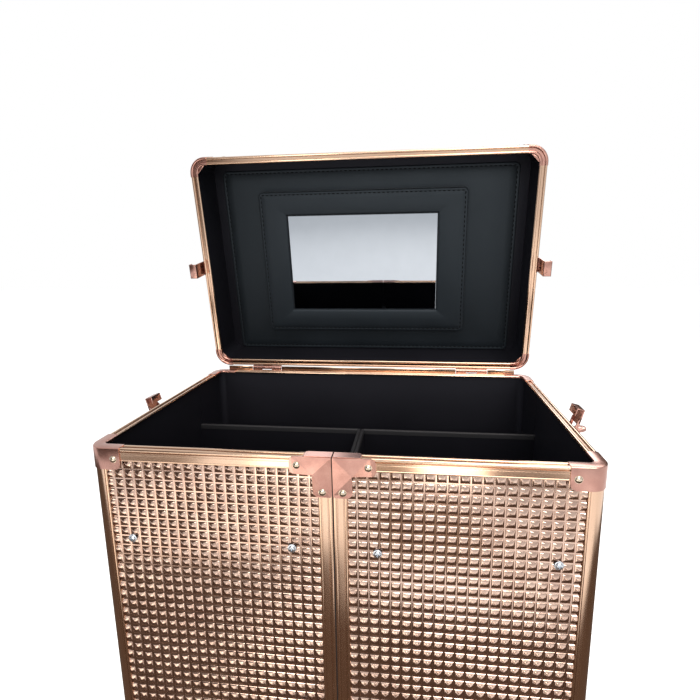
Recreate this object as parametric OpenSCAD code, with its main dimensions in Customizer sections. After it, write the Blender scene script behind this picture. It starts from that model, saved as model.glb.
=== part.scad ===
// Rolling grooming box: a fixed rear case on a wheeled base, two deep front halves that
// swing out to the sides, and a hinged lid with a mirror. Millimetres, +Z up.
// The origin is on the floor, below the middle of the outline with the lid open.

/* [Case] */
// Outer width of the case
case_w = 400; // [340:2:460]
// Outer depth of the case, front to back
case_d = 258; // [230:2:300]
// Height of the body's rim above the floor
rim_z = 575; // [520:5:680]
// Depth of the two front halves that swing out
door_d = 191; // [170:1:200]
// Outer radius of the body's upright corners
post_r = 13; // [10:0.5:18]
// Gap between the halves, and between them and the rear case
seam_gap = 0.8; // [0.6:0.1:2]

/* [Walls and rails] */
// Thickness of the lined boards
wall_t = 3; // [2.5:0.1:5]
// Thickness of the shelves and bottom boards
board_t = 5; // [4:0.5:8]
// Thickness of the pressed panel skins
panel_t = 1.6; // [1.2:0.1:2.5]
// How far the rails stand proud of the panels
rail_proud = 0.8; // [0.4:0.1:1.5]
// Height of the edge rails on the outer faces
rail_h = 11; // [9:0.5:16]
// Width of the rim's top face
rim_w = 8.5; // [7:0.5:12]
// Radius of the two beads along the rim
bead_r = 1.5; // [1:0.1:2]
// Thickness of the pressed corner plates
plate_t = 0.8; // [0.5:0.1:1.2]

/* [Compartments] */
// Height of the rim above the top edge of the inner walls
inner_drop = 51.5; // [40:0.5:70]
// Depth of the top compartments below the rim
tray_depth = 125; // [105:1:160]
// Height of the front halves' shelf above the base
shelf_rise = 190; // [150:5:220]
// Height of the fence at the front of each shelf
fence_h = 28; // [15:1:40]

/* [Corner plates] */
// Length of the corner caps' legs along the rim
cap_leg = 20; // [16:1:26]
// Length of the corner caps' plates on the outer faces
cap_plate = 28; // [24:1:34]
// How far the corner caps reach down
cap_drop = 18; // [15:1:26]
// Length of the centre brackets' arm along the top rail
arm_l = 33; // [26:1:40]
// Height of that arm
arm_h = 14.5; // [12:0.5:18]
// Length of the centre brackets' leg down the stile
leg_l = 33; // [26:1:40]
// Width of that leg
leg_w = 15; // [12:0.5:18]
// Length of the centre brackets' flap over the rim
flap_l = 22; // [16:1:28]
// Thickness of that flap
flap_t = 0.5; // [0.3:0.1:0.6]

/* [Lid] */
// Angle at which the lid stands open, from closed
lid_open = 80.7; // [60:0.1:88]
// Outer height of the lid
lid_h = 62; // [50:1:80]
// Gap between the closed lid and the body's rim
lid_gap = 1.6; // [1.3:0.1:3]
// Outer radius of the lid's corners
lid_r = 18; // [14:0.5:24]
// Length of the legs of the lid's corner pieces
lid_leg = 21; // [19:1:28]
// Thickness of the stitched lining pad
pad_t = 3; // [2:0.5:5]
// Distance from the lid's sides to the edge of that pad
pad_margin = 15; // [12:1:22]
// Width of the padded mirror surround
surround_w = 258; // [210:1:280]
// Height of the padded mirror surround
surround_h = 180; // [150:1:190]
// Thickness of the mirror surround
surround_t = 13; // [9:0.5:15]
// Distance from the lid's middle back to the mirror's middle
mirror_back = 3; // [0:0.5:6]
// Distance from the lid's middle to the mirror's middle, to the left
mirror_left = 6; // [0:0.5:10]
// Width of the mirror that shows
mirror_w = 188; // [150:1:200]
// Height of the mirror that shows
mirror_h = 122; // [90:1:140]
// Thickness of the mirror glass
mirror_t = 3; // [2:0.5:4]

/* [Hinges] */
// Radius of the hinge knuckles
knuckle_r = 2.6; // [2.2:0.1:3.2]
// Radius of the hinge pins
pin_r = 1.2; // [1:0.1:1.6]
// Thickness of the hinge leaves
leaf_t = 1.2; // [1:0.1:1.6]
// Clearance between the knuckles and the case
hinge_clear = 0.4; // [0.3:0.1:0.8]
// Distance from the middle of the case to each lid hinge
lid_hinge_x = 132; // [90:1:150]
// Length of each lid hinge
lid_hinge_l = 38; // [30:1:50]
// Length of each upright hinge of the front halves
door_hinge_l = 50; // [40:1:70]
// Width of the hinge leaves
leaf_w = 22; // [16:1:26]

/* [Side latches] */
// Distance of the latches' lever pivot below the rim
latch_drop = 24; // [22:1:30]
// Distance of that pivot from the side of the case
latch_out = 7; // [6.5:0.5:9]
// Length of the latch levers
lever_l = 20; // [18:1:26]
// Angle at which the levers stand open, from closed
lever_open = 100; // [80:1:110]
// Lean of the open claws, away from the lid's keepers
claw_lean = 16; // [14:1:20]
// Height of the claws above their pin
claw_h = 24; // [23:0.5:25]
// Radius of the latches' main pin
latch_pin_r = 1.5; // [1.2:0.1:1.8]
// Radius of the pin that carries the claw
claw_pin_r = 1.2; // [1:0.1:1.4]
// Half the width of the lid's keepers
keeper_half = 8.5; // [7.5:0.1:9]
// Thickness of the keepers
keeper_t = 1.2; // [1:0.1:1.4]
// Gap between the closed lid's side and the keepers
keeper_gap = 2.2; // [1.8:0.1:2.6]
// Distance from the closed lid's side to the keepers' outer edge
keeper_out = 11; // [10.6:0.1:11.2]
// How far the closed lid's keepers hang below the rim
keeper_drop = 15; // [14.5:0.1:15.5]

/* [Turn button] */
// Distance of the turn button below the rim
lock_drop = 265; // [250:5:300]
// Distance of the turn button from the centre seam
lock_x = 26; // [25:1:34]
// Radius of the turn button's shaft
lock_shaft_r = 5; // [4:0.5:6]
// Length of the bar that it turns across the seam
cam_l = 40; // [38:1:50]

/* [Base and wheels] */
// Height of the base's underside above the floor
base_z = 26; // [20:1:32]
// Height of the base's top above the floor
base_top = 62; // [60:1:75]
// Radius of the wheels
wheel_r = 28; // [24:0.5:28]
// Width of the tyres
wheel_w = 24; // [18:1:28]
// Radius of the wheel axles
axle_r = 4; // [3:0.5:5]
// Distance from the case's side to the middle of each wheel
wheel_inset = 30; // [26:1:40]
// Distance from the back face forward to the axles
axle_inset = 14; // [10:1:22]
// Radius of the front feet
foot_r = 16; // [12:1:20]
// Distance from the case's front and sides to each foot's middle
foot_inset = 30; // [24:1:40]

/* [Pull handle] */
// Distance between the middles of the handle's tubes
tube_pitch = 130; // [100:2:160]
// Outer radius of the fixed guide tubes
tube_r = 9; // [8:0.5:11]
// Wall of the tubes
tube_t = 1.2; // [1:0.1:1.5]
// Clearance between the tubes
tube_clear = 0.3; // [0.3:0.05:0.5]
// Distance from the back face to the tubes' middle
tube_out = 13; // [12:0.5:18]
// Distance from the rim down to the top of the stowed grip
grip_drop = 100; // [100:1:140]
// Height of the grip
grip_h = 21; // [18:1:26]
// Depth of the grip, front to back
grip_d = 24; // [22:1:30]

/* [Lid handle] */
// Distance between the lid handle's pivots
bail_l = 130; // [110:2:160]
// Distance from the pivots to the grip's middle
bail_reach = 32; // [28:1:40]
// Height of the pivots above the lid's top
bail_up = 9; // [8:0.5:12]
// Radius of the lid handle's grip
bail_grip_r = 7; // [6:0.5:7]
// Radius of the lid handle's pins
bail_pin_r = 2.5; // [2:0.1:3]
// Width of the lid handle's sockets
socket_w = 14; // [13:0.5:16]
// Length of the sockets' base plates
socket_l = 32; // [26:1:36]

/* [Fasteners] */
// Radius of the dome rivets' heads
rivet_r = 3; // [2:0.1:4]
// Height of the dome rivets' heads
rivet_h = 1.6; // [1:0.1:2]
// Radius of the panel screws' heads
screw_r = 2.7; // [2:0.1:3.5]
// Distance of the panel screws below the rim
screw_drop = 79; // [60:1:100]
// Distance of each panel's inner screw from the centre seam
screw_in = 34; // [30:1:40]
// Distance of each panel's outer screw from the case's side
screw_out = 31; // [26:1:36]

/* [Hidden] */
$fn = 48;

rose = "#caa189";
panel_rose = "#bd9076";
copper = "#b97862";
black = "#17171b";
zinc = "#b8bfc9";
grey = "#4a4a50";
rubber = "#26262a";

skin = panel_t + rail_proud;
rim_t = 2 * bead_r;
cut = 1;
run_clear = 0.05;
move_clear = 0.3;

knob_out = 15;
hinge_off = hinge_clear + knuckle_r;
lid_reach = (plate_t - hinge_off) * cos(lid_open)
    + (lid_gap + lid_h + plate_t - 3) * sin(lid_open);
front_y = -round(5 * (case_d + hinge_off + lid_reach - knob_out)) / 10;
back_y = front_y + case_d;
mid_y = front_y + case_d / 2;
half_w = case_w / 2;
door_w = half_w - seam_gap / 2;
door_l = door_d - seam_gap / 2;
rear_y = front_y + door_d + seam_gap / 2;
rear_d = back_y - rear_y;
door_z = base_top + seam_gap;
wall_top = rim_z - rim_t;
inner_top = rim_z - inner_drop;
tray_z = rim_z - tray_depth;
shelf_z = base_top + shelf_rise;
inset = skin + wall_t;

lid_z = rim_z + lid_gap;
lid_top = lid_z + lid_h;
hinge_y = back_y + hinge_off;
hinge_z = rim_z + 3;
hinge_x = half_w + hinge_off;
seam_y = front_y + door_d;
hinge_end = 1.2 * door_hinge_l;
door_hinge_z = [base_top + hinge_end, (base_top + rim_z) / 2, rim_z - hinge_end];

lock_z = rim_z - lock_drop;
wheel_x = half_w - wheel_inset;
axle_y = back_y - axle_inset;
well_gap = 3;
cheek_t = 2.3;
tube_y = back_y + tube_out;
grip_top = rim_z - grip_drop;
grip_z = grip_top - grip_h;
bracket_h = 20;
mid_tube_r = tube_r - tube_t - tube_clear;
inner_tube_r = mid_tube_r - tube_t - tube_clear;

// Solid box between two opposite corners.
module block(lo, hi) {
    translate(lo) cube(hi - lo);
}

// The child and its mirror image on the other side of the case.
module both_sides() {
    children();
    mirror([1, 0, 0]) children();
}

// Rectangle with rounded corners, centred.
module rounded(w, d, r) {
    square([w - 2 * r, d], center = true);
    square([w, d - 2 * r], center = true);
    for (sx = [-1, 1], sy = [-1, 1])
        translate([sx * (w / 2 - r), sy * (d / 2 - r)]) circle(r);
}

// Rectangle from the origin whose corner at the origin is rounded.
module corner_rect(w, d, r) {
    translate([r, 0]) square([w - r, d]);
    translate([0, r]) square([w, d - r]);
    intersection() {
        translate([r, r]) circle(r);
        square(r);
    }
}

// Rectangle centred on X, from y = 0 back to d, whose two back corners are rounded.
module back_rect(w, d, r) {
    translate([-w / 2, 0]) square([w, d - r]);
    translate([r - w / 2, 0]) square([w - 2 * r, d]);
    for (s = [-1, 1]) translate([s * (w / 2 - r), d - r]) circle(r);
}

// Quarter of a ring, in the quadrant towards -X and -Y.
module quarter_ring(r, t) {
    intersection() {
        difference() {
            circle(r);
            circle(r - t);
        }
        translate([-r, -r]) square(r);
    }
}

// Section of the rim: face strip, web and two beads. X is inward, the top is at y = 0.
module rim_section() {
    translate([0, -rail_h]) square([skin, rail_h - bead_r]);
    translate([bead_r, -rim_t]) square([rim_w - 2 * bead_r, rim_t - bead_r / 2]);
    translate([bead_r, -bead_r]) circle(bead_r);
    translate([rim_w - bead_r, -bead_r]) circle(bead_r);
}

// Runs a section along X, with its inward side towards +Y (1) or -Y (-1).
module run_x(x0, x1, y, z, inward) {
    translate([inward > 0 ? x0 : x1, y, z]) rotate([90, 0, 90 * inward])
        linear_extrude(x1 - x0) children();
}

// Runs a section along Y, with its inward side towards +X.
module run_y(y0, y1, x, z) {
    translate([x, y1, z]) rotate([90, 0, 0]) linear_extrude(y1 - y0) children();
}

// Places a left half whose outer front corner is at its own origin.
module at_left_door() {
    translate([-half_w, front_y, 0]) children();
}

// Head of a dome rivet, standing on the XY plane.
module dome(r, h) {
    ball_r = (r * r + h * h) / (2 * h);
    intersection() {
        translate([0, 0, h - ball_r]) sphere(ball_r);
        cylinder(h = h, r = r);
    }
}

// Flat plate on the front face: arm along the rail, leg down the stile, corner at the
// origin, towards -X and -Z.
module ell_plate(arm, arm_w, leg, width) {
    block([-arm, -plate_t, -arm_w], [0, 0, 0]);
    block([-width, -plate_t, -leg], [0, 0, 0]);
}

// Plates wrapped round an upright corner of radius r at the origin.
module corner_wrap(r, plate, z0, z1) {
    translate([r, r, z0]) linear_extrude(z1 - z0) quarter_ring(r + plate_t, plate_t);
    block([r, -plate_t, z0], [plate, 0, z1]);
    block([-plate_t, r, z0], [0, plate, z1]);
}

// Corner cap of the body's rim: filled rim corner and wrapped plates.
module rim_cap() {
    translate([0, 0, wall_top]) linear_extrude(rim_z + plate_t / 2 - wall_top)
        difference() {
            corner_rect(cap_leg, cap_leg, post_r);
            translate([rim_w, rim_w]) square(cap_leg);
        }
    corner_wrap(post_r, cap_plate, rim_z - cap_drop, rim_z + plate_t / 2);
}

// Base

module wheel_wells(grow) {
    both_sides()
        block([wheel_x - wheel_w / 2 - well_gap - grow, axle_y - wheel_r - well_gap, base_z - cut],
              [wheel_x + wheel_w / 2 + well_gap + grow, back_y + cut, 2 * wheel_r + well_gap]);
}

module base_plinth() {
    color(black) difference() {
        translate([0, mid_y, base_z]) linear_extrude(base_top - base_z)
            rounded(case_w - 2 * skin, case_d - 2 * skin, post_r - skin);
        block([wheel_inset + wheel_w - half_w, front_y + 2 * foot_inset, base_z + board_t],
              [half_w - wheel_inset - wheel_w, back_y - 2 * board_t, base_top - board_t]);
        wheel_wells(0);
    }
}

module base_skirt() {
    color(rose) difference() {
        translate([0, mid_y, base_z]) linear_extrude(base_top - base_z) difference() {
            rounded(case_w, case_d, post_r);
            rounded(case_w - 2 * skin, case_d - 2 * skin, post_r - skin);
        }
        wheel_wells(0);
    }
}

module front_feet() {
    cup_h = 8;
    color(rubber) both_sides() translate([half_w - foot_inset, front_y + foot_inset, 0]) {
        cylinder(h = base_z - cup_h, r1 = foot_r - 2, r2 = foot_r);
        translate([0, 0, base_z - cup_h]) cylinder(h = cup_h, r = foot_r - 3);
    }
}

module wheel_housings() {
    in_w = wheel_w / 2 + well_gap - cheek_t;
    out_w = wheel_w / 2 + well_gap;
    y0 = axle_y - wheel_r - well_gap;
    top = 2 * wheel_r + well_gap;
    color(grey) both_sides() difference() {
        block([wheel_x - out_w, y0, base_z - 14], [wheel_x + out_w, back_y, top]);
        block([wheel_x - in_w, y0 + cheek_t, base_z - 14 - cut],
              [wheel_x + in_w, back_y + cut, top - cheek_t / 2]);
        translate([wheel_x - out_w - cut, axle_y, wheel_r]) rotate([0, 90, 0])
            cylinder(h = 2 * (out_w + cut), r = axle_r);
    }
}

module wheel_axles() {
    l = 2 * (wheel_w / 2 + well_gap);
    color(zinc) both_sides() translate([wheel_x - l / 2, axle_y, wheel_r]) rotate([0, 90, 0])
        cylinder(h = l, r = axle_r);
}

module wheel_tyre() {
    hub_r = wheel_r - 7;
    tread_r = 3;
    color(rubber) translate([wheel_x, axle_y, wheel_r]) rotate([0, 90, 0])
        rotate_extrude($fn = 72) difference() {
            union() {
                translate([hub_r, -wheel_w / 2]) square([wheel_r - hub_r - tread_r, wheel_w]);
                translate([hub_r, tread_r - wheel_w / 2])
                    square([wheel_r - hub_r, wheel_w - 2 * tread_r]);
                for (s = [-1, 1])
                    translate([wheel_r - tread_r, s * (wheel_w / 2 - tread_r)]) circle(tread_r);
            }
        }
}

module wheel_hub() {
    hub_r = wheel_r - 7;
    web_t = 6;
    color(grey) translate([wheel_x, axle_y, wheel_r]) rotate([0, 90, 0]) {
        rotate_extrude($fn = 72) {
            translate([axle_r + run_clear, -wheel_w / 2]) square([5, wheel_w]);
            translate([axle_r + run_clear, -web_t / 2])
                square([hub_r - axle_r - run_clear, web_t]);
            translate([hub_r - 3, 1 - wheel_w / 2]) square([3, wheel_w - 2]);
        }
    }
}

// Rear case

// Three boards, joined at the back by quarter-round strips.
module rear_box() {
    joint = 0.1;
    end_y = back_y - post_r;
    color(black) translate([0, 0, base_top]) linear_extrude(wall_top - base_top) {
        both_sides() {
            translate([-half_w + skin, rear_y]) square([wall_t, end_y - rear_y - joint]);
            translate([post_r - half_w, end_y]) mirror([0, 1]) quarter_ring(post_r - skin, wall_t);
        }
        translate([post_r - half_w + joint, back_y - inset])
            square([case_w - 2 * (post_r + joint), wall_t]);
    }
}

// Boards between the walls of the rear case, each with a low fence along its front.
module rear_shelves() {
    setback = 2;
    below_walls = 28;
    tray_fence_h = tray_depth - inner_drop - below_walls;
    color(black) for (shelf = [[base_top, fence_h], [base_top + (tray_z - base_top) / 2, fence_h],
                               [tray_z, tray_fence_h]])
        translate([0, rear_y + setback, shelf[0]]) {
            linear_extrude(board_t)
                back_rect(case_w - 2 * inset, rear_d - inset - setback, post_r - inset);
            block([inset - half_w, 0, 0], [half_w - inset, wall_t, shelf[1]]);
        }
}

module rear_frame() {
    color(rose) {
        run_x(-half_w + cap_leg, half_w - cap_leg, back_y, rim_z, -1) rim_section();
        block([-half_w + post_r, back_y - skin, rim_z - rail_h],
              [half_w - post_r, back_y, wall_top]);
        block([-half_w + post_r, back_y - skin, base_top],
              [half_w - post_r, back_y, base_top + rail_h]);
        both_sides() {
            run_y(rear_y, back_y - cap_leg, -half_w, rim_z) rim_section();
            block([-half_w, rear_y, rim_z - rail_h], [-half_w + skin, back_y - post_r, wall_top]);
            block([-half_w, rear_y, base_top],
                  [-half_w + skin, back_y - post_r, base_top + rail_h]);
            block([-half_w, rear_y, base_top], [-half_w + skin, rear_y + rail_h, wall_top]);
            translate([-half_w + post_r, back_y - post_r, base_top]) mirror([0, 1, 0])
                linear_extrude(wall_top - base_top) quarter_ring(post_r, skin);
        }
    }
}

module rear_corner_caps() {
    color(copper) both_sides() {
        translate([-half_w, back_y, 0]) mirror([0, 1, 0]) rim_cap();
        translate([-half_w, back_y, 0]) mirror([0, 1, 0])
            corner_wrap(post_r, cap_plate / 2 + 2, base_top - cap_drop, base_top + cap_drop);
        translate([-half_w, front_y, 0])
            corner_wrap(post_r, cap_plate, base_z, base_top - seam_gap);
    }
}

module rear_panels() {
    z0 = base_top + rail_h;
    z1 = rim_z - rail_h;
    color(panel_rose) {
        block([-half_w + post_r, back_y - skin, z0],
              [half_w - post_r, back_y - rail_proud, z1]);
        both_sides()
            block([-half_w + rail_proud, rear_y + rail_h, z0],
                  [-half_w + skin, back_y - post_r, z1]);
    }
}

// Hinges

// Spans along a hinge's barrel: the two outer knuckles, or the one between them.
function knuckle_spans(l, outer) = let (third = l / 3, gap = move_clear / 2)
    outer ? [[0, third - gap], [2 * third + gap, l]] : [[third + gap, 2 * third - gap]];

// Knuckles of one leaf about +Z: a push fit on the pin in the fixed leaf, free in the other.
module knuckles(l, outer) {
    for (s = knuckle_spans(l, outer)) translate([0, 0, s[0]]) difference() {
        union() {
            cylinder(h = s[1] - s[0], r = knuckle_r);
            block([0, -knuckle_r, 0], [hinge_off + 2, leaf_t - knuckle_r, s[1] - s[0]]);
        }
        translate([0, 0, -cut])
            cylinder(h = s[1] - s[0] + 2 * cut, r = outer ? pin_r : pin_r + run_clear);
    }
}

// One leaf with its knuckles. The barrel lies along +Z at the origin; the leaf reaches
// towards +X and lies against the case at y = -hinge_off.
module hinge_leaf(l, outer) {
    knuckles(l, outer);
    block([hinge_off, -hinge_off, 0], [leaf_w, leaf_t - hinge_off, l]);
    for (s = knuckle_spans(l, outer))
        block([hinge_off, -hinge_off, s[0]], [hinge_off + 2, leaf_t - knuckle_r, s[1]]);
}

// Lays a hinge's barrel along X at the back of the case, with its leaf reaching down.
module at_lid_hinge(side) {
    translate([side * lid_hinge_x - lid_hinge_l / 2, hinge_y, hinge_z])
        rotate([0, 90, 0]) children();
}

module lid_hinge_lower_leaves() {
    color(copper) for (s = [-1, 1]) at_lid_hinge(s) hinge_leaf(lid_hinge_l, true);
}

module lid_hinge_upper_leaves() {
    color(copper) open_lid() for (s = [-1, 1])
        at_lid_hinge(s) mirror([1, 0, 0]) hinge_leaf(lid_hinge_l, false);
}

// Stands a hinge on the left side of the case, at each height, with its leaf to the back.
module at_door_hinges() {
    for (z = door_hinge_z) translate([-hinge_x, seam_y, z - door_hinge_l / 2])
        rotate([0, 0, 90]) children();
}

module door_hinge_rear_leaves() {
    color(rose) both_sides() at_door_hinges() hinge_leaf(door_hinge_l, true);
}

module door_hinge_leaves() {
    color(rose) at_door_hinges() mirror([1, 0, 0]) hinge_leaf(door_hinge_l, false);
}

module hinge_pins() {
    color(zinc) {
        both_sides() for (z = door_hinge_z)
            translate([-hinge_x, seam_y, z - door_hinge_l / 2])
                cylinder(h = door_hinge_l, r = pin_r);
        for (s = [-1, 1])
            translate([s * lid_hinge_x - lid_hinge_l / 2, hinge_y, hinge_z]) rotate([0, 90, 0])
                cylinder(h = lid_hinge_l, r = pin_r);
    }
}

// Front halves, drawn on the left

module door_box() {
    gap_in = door_w - wall_t - 0.2;
    gap_back = door_l - wall_t - 0.2;
    color(black) at_left_door() difference() {
        union() {
            translate([0, 0, door_z]) linear_extrude(wall_top - door_z) difference() {
                translate([skin, skin]) corner_rect(door_w - skin, door_l - skin, post_r - skin);
                translate([inset, inset])
                    corner_rect(door_w - inset - wall_t, door_l - inset - wall_t,
                                post_r - inset);
            }
            for (z = [door_z, shelf_z, tray_z])
                translate([skin + wall_t / 2, skin + wall_t / 2, z]) linear_extrude(board_t)
                    corner_rect(door_w - skin - wall_t, door_l - skin - wall_t,
                                post_r - skin - wall_t / 2);
        }
        block([inset, gap_back, inner_top], [door_w + cut, door_l + cut, rim_z]);
        block([gap_in, inset, inner_top], [door_w + cut, door_l + cut, rim_z]);
        for (z = [[door_z + board_t + fence_h, shelf_z], [shelf_z + fence_h, tray_z]])
            block([gap_in, inset, z[0]], [door_w + cut, door_l - wall_t - 8, z[1]]);
    }
}

module door_frame() {
    color(rose) at_left_door() {
        run_x(cap_leg, door_w, 0, rim_z, 1) rim_section();
        run_y(cap_leg, door_l, 0, rim_z) rim_section();
        block([post_r, 0, rim_z - rail_h], [door_w, skin, wall_top]);
        block([0, post_r, rim_z - rail_h], [skin, door_l, wall_top]);
        block([post_r, 0, door_z], [door_w, skin, door_z + rail_h]);
        block([0, post_r, door_z], [skin, door_l, door_z + rail_h]);
        block([door_w - rail_h, 0, door_z], [door_w, skin, wall_top]);
        block([0, door_l - rail_h, door_z], [skin, door_l, wall_top]);
    }
}

module corner_post() {
    color(rose) at_left_door() translate([post_r, post_r, door_z])
        linear_extrude(wall_top - door_z) quarter_ring(post_r, skin);
}

module door_panels() {
    z0 = door_z + rail_h;
    z1 = rim_z - rail_h;
    color(panel_rose) at_left_door() {
        block([post_r, rail_proud, z0], [door_w - rail_h, skin, z1]);
        block([rail_proud, post_r, z0], [skin, door_l - rail_h, z1]);
    }
}

module door_brackets() {
    color(copper) at_left_door() {
        rim_cap();
        translate([door_w, 0, rim_z]) {
            ell_plate(arm_l, arm_h, leg_l, leg_w);
            block([-flap_l, -plate_t, 0], [0, rim_w, flap_t]);
        }
        corner_wrap(post_r, cap_plate, door_z, door_z + cap_drop);
        translate([door_w, 0, door_z]) mirror([0, 0, 1]) ell_plate(arm_l, arm_h, leg_l, leg_w);
    }
}

module door_rivets() {
    cap_rivet = post_r + (cap_plate - post_r) / 2 + 2;
    color(rose) at_left_door() {
        for (z = [rim_z - cap_drop / 2, door_z + cap_drop / 2]) {
            translate([cap_rivet, -plate_t, z]) rotate([90, 0, 0]) dome(rivet_r, rivet_h);
            translate([-plate_t, cap_rivet, z]) rotate([0, -90, 0]) dome(rivet_r, rivet_h);
        }
        for (s = [-1, 1]) translate([door_w, -plate_t, s < 0 ? rim_z : door_z]) {
            translate([rivet_r * 2 - arm_l, 0, s * arm_h / 2]) rotate([90, 0, 0])
                dome(rivet_r, rivet_h);
            translate([-leg_w / 2, 0, s * (leg_l - 1.5 * rivet_r)]) rotate([90, 0, 0])
                dome(rivet_r, rivet_h);
        }
    }
}

module panel_screws() {
    color(zinc) for (x = [-screw_in, screw_out - half_w])
        translate([x, front_y + rail_proud, rim_z - screw_drop]) rotate([90, 0, 0])
            dome(screw_r, rivet_h);
}

module tool_rail() {
    rail_t = 3;
    rail_half = 8;
    peg_r = 1.8;
    peg_l = 12;
    pegs = 6;
    peg_end = 14;
    x0 = screw_out - rail_half;
    x1 = half_w - screw_in + rail_half;
    step = (x1 - x0 - 2 * peg_end) / (pegs - 1);
    z = rim_z - screw_drop;
    color(grey) at_left_door() {
        block([x0, inset, z - rail_half], [x1, inset + rail_t, z + rail_half]);
        for (i = [0:pegs - 1]) translate([x0 + peg_end + i * step, inset + rail_t, z])
            rotate([-90, 0, 0]) cylinder(h = peg_l, r = peg_r);
    }
}

// Draw latch. X is out from the side, Z is up from the rim's plane, Y is its width.

latch_half = 12;
lever_half = 6.5;
claw_in = 7.3;
claw_half = 8.7;
claw_pin = [2.5, -5.5];
plate_out = 2;
claw_t = 1.2;

module latch_base() {
    z0 = -latch_drop - lever_l - 12;
    block([-rail_proud, -latch_half - 1, z0], [1.4, latch_half + 1, 6 - latch_drop]);
    for (s = [-1, 1]) translate([0, s * (latch_half - 0.75) + 0.75, -latch_drop])
        rotate([90, 0, 0]) linear_extrude(1.5) {
            translate([0, -6]) square([latch_out, 12]);
            translate([latch_out, 0]) circle(4);
        }
    translate([latch_out, latch_half, -latch_drop]) rotate([90, 0, 0])
        cylinder(h = 2 * latch_half, r = latch_pin_r);
}

// Lever in its closed pose, about its pivot.
module latch_lever_shape() {
    tip_r = lever_half;
    difference() {
        union() {
            translate([0, lever_half, 0]) rotate([90, 0, 0]) cylinder(h = 2 * lever_half, r = 3);
            block([0.6, -lever_half, tip_r - lever_l], [3.2, lever_half, 0]);
            translate([0.6, 0, tip_r - lever_l]) rotate([0, 90, 0]) cylinder(h = 2.6, r = tip_r);
            translate([claw_pin[0], lever_half, claw_pin[1]]) rotate([90, 0, 0])
                cylinder(h = 2 * lever_half, r = 2.2);
        }
        translate([0, lever_half + cut, 0]) rotate([90, 0, 0])
            cylinder(h = 2 * (lever_half + cut), r = latch_pin_r + run_clear);
    }
    translate([claw_pin[0], claw_half + 0.2, claw_pin[1]]) rotate([90, 0, 0])
        cylinder(h = 2 * (claw_half + 0.2), r = claw_pin_r);
}

// Claw in its closed pose, about its own pin.
module latch_claw_shape() {
    arm_t = claw_half - claw_in;
    lip = 4.3;
    difference() {
        union() {
            for (s = [-1, 1]) translate([0, s * (claw_in + arm_t / 2), 0]) {
                rotate([90, 0, 0]) translate([0, 0, -arm_t / 2]) cylinder(h = arm_t, r = 2.4);
                block([0.4, -arm_t / 2, 0], [plate_out + claw_t, arm_t / 2, claw_h / 2]);
            }
            block([plate_out, -claw_half, 8], [plate_out + claw_t, claw_half, claw_h]);
            block([-lip, -claw_half, claw_h - claw_t], [plate_out + claw_t, claw_half, claw_h]);
            block([-lip, -claw_half, claw_h - 7.8], [claw_t - lip, claw_half, claw_h]);
        }
        translate([0, claw_half + cut, 0]) rotate([90, 0, 0])
            cylinder(h = 2 * (claw_half + cut), r = claw_pin_r + run_clear);
    }
}

// Places a latch piece on the right side of the case.
module at_right_latch() {
    color(copper) translate([half_w, mid_y, rim_z]) children();
}

module right_latch_base() {
    at_right_latch() latch_base();
}

module right_latch_lever() {
    at_right_latch() translate([latch_out, 0, -latch_drop]) rotate([0, -lever_open, 0])
        latch_lever_shape();
}

module right_latch_claw() {
    at_right_latch() translate([latch_out, 0, -latch_drop]) rotate([0, -lever_open, 0])
        translate([claw_pin[0], 0, claw_pin[1]]) rotate([0, lever_open + claw_lean, 0])
            latch_claw_shape();
}

module left_latch_base() {
    mirror([1, 0, 0]) right_latch_base();
}

module left_latch_lever() {
    mirror([1, 0, 0]) right_latch_lever();
}

module left_latch_claw() {
    mirror([1, 0, 0]) right_latch_claw();
}

// Turn button on the left half: its bar turns across the seam in front of the right half

button_plate = 3.5;
bar_t = 1.6;

module at_lock() {
    translate([-lock_x, front_y, lock_z]) rotate([-90, 0, 0]) children();
}

module lock_escutcheon() {
    color(copper) at_lock() difference() {
        translate([0, 0, -button_plate]) cylinder(h = button_plate + rail_proud, r = 13);
        translate([0, 0, -button_plate - cut])
            cylinder(h = button_plate + cut, r = lock_shaft_r + run_clear);
    }
}

// Knob, its shaft, and the bar behind it.
module lock_knob() {
    color(rose) at_lock() {
        translate([0, 0, -10]) cylinder(h = 10 - button_plate - move_clear, r = 9);
        translate([0, 0, -10]) cylinder(h = 10 - move_clear, r = lock_shaft_r);
        translate([-2, -8, -knob_out]) cube([4, 16, 6]);
        translate([0, 0, -button_plate - move_clear - bar_t]) {
            block([-4.5, 4.5 - cam_l, 0], [4.5, 0, bar_t]);
            translate([0, 4.5 - cam_l, 0]) cylinder(h = bar_t, r = 4.5);
        }
    }
}

// Lid, drawn closed and turned open about its hinge

module open_lid() {
    translate([0, hinge_y, hinge_z]) rotate([-lid_open, 0, 0])
        translate([0, -hinge_y, -hinge_z]) children();
}

module lid_outline(grow) {
    translate([0, mid_y]) rounded(case_w + 2 * grow, case_d + 2 * grow, lid_r + grow);
}

module lid_ring(z0, z1, outer, inner) {
    translate([0, 0, z0]) linear_extrude(z1 - z0) difference() {
        lid_outline(-outer);
        lid_outline(-inner);
    }
}

module lid_box() {
    color(black) open_lid() {
        lid_ring(lid_z + rim_t, lid_top - skin, skin, inset);
        translate([0, 0, lid_top - skin - wall_t]) linear_extrude(wall_t) lid_outline(-skin);
    }
}

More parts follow.
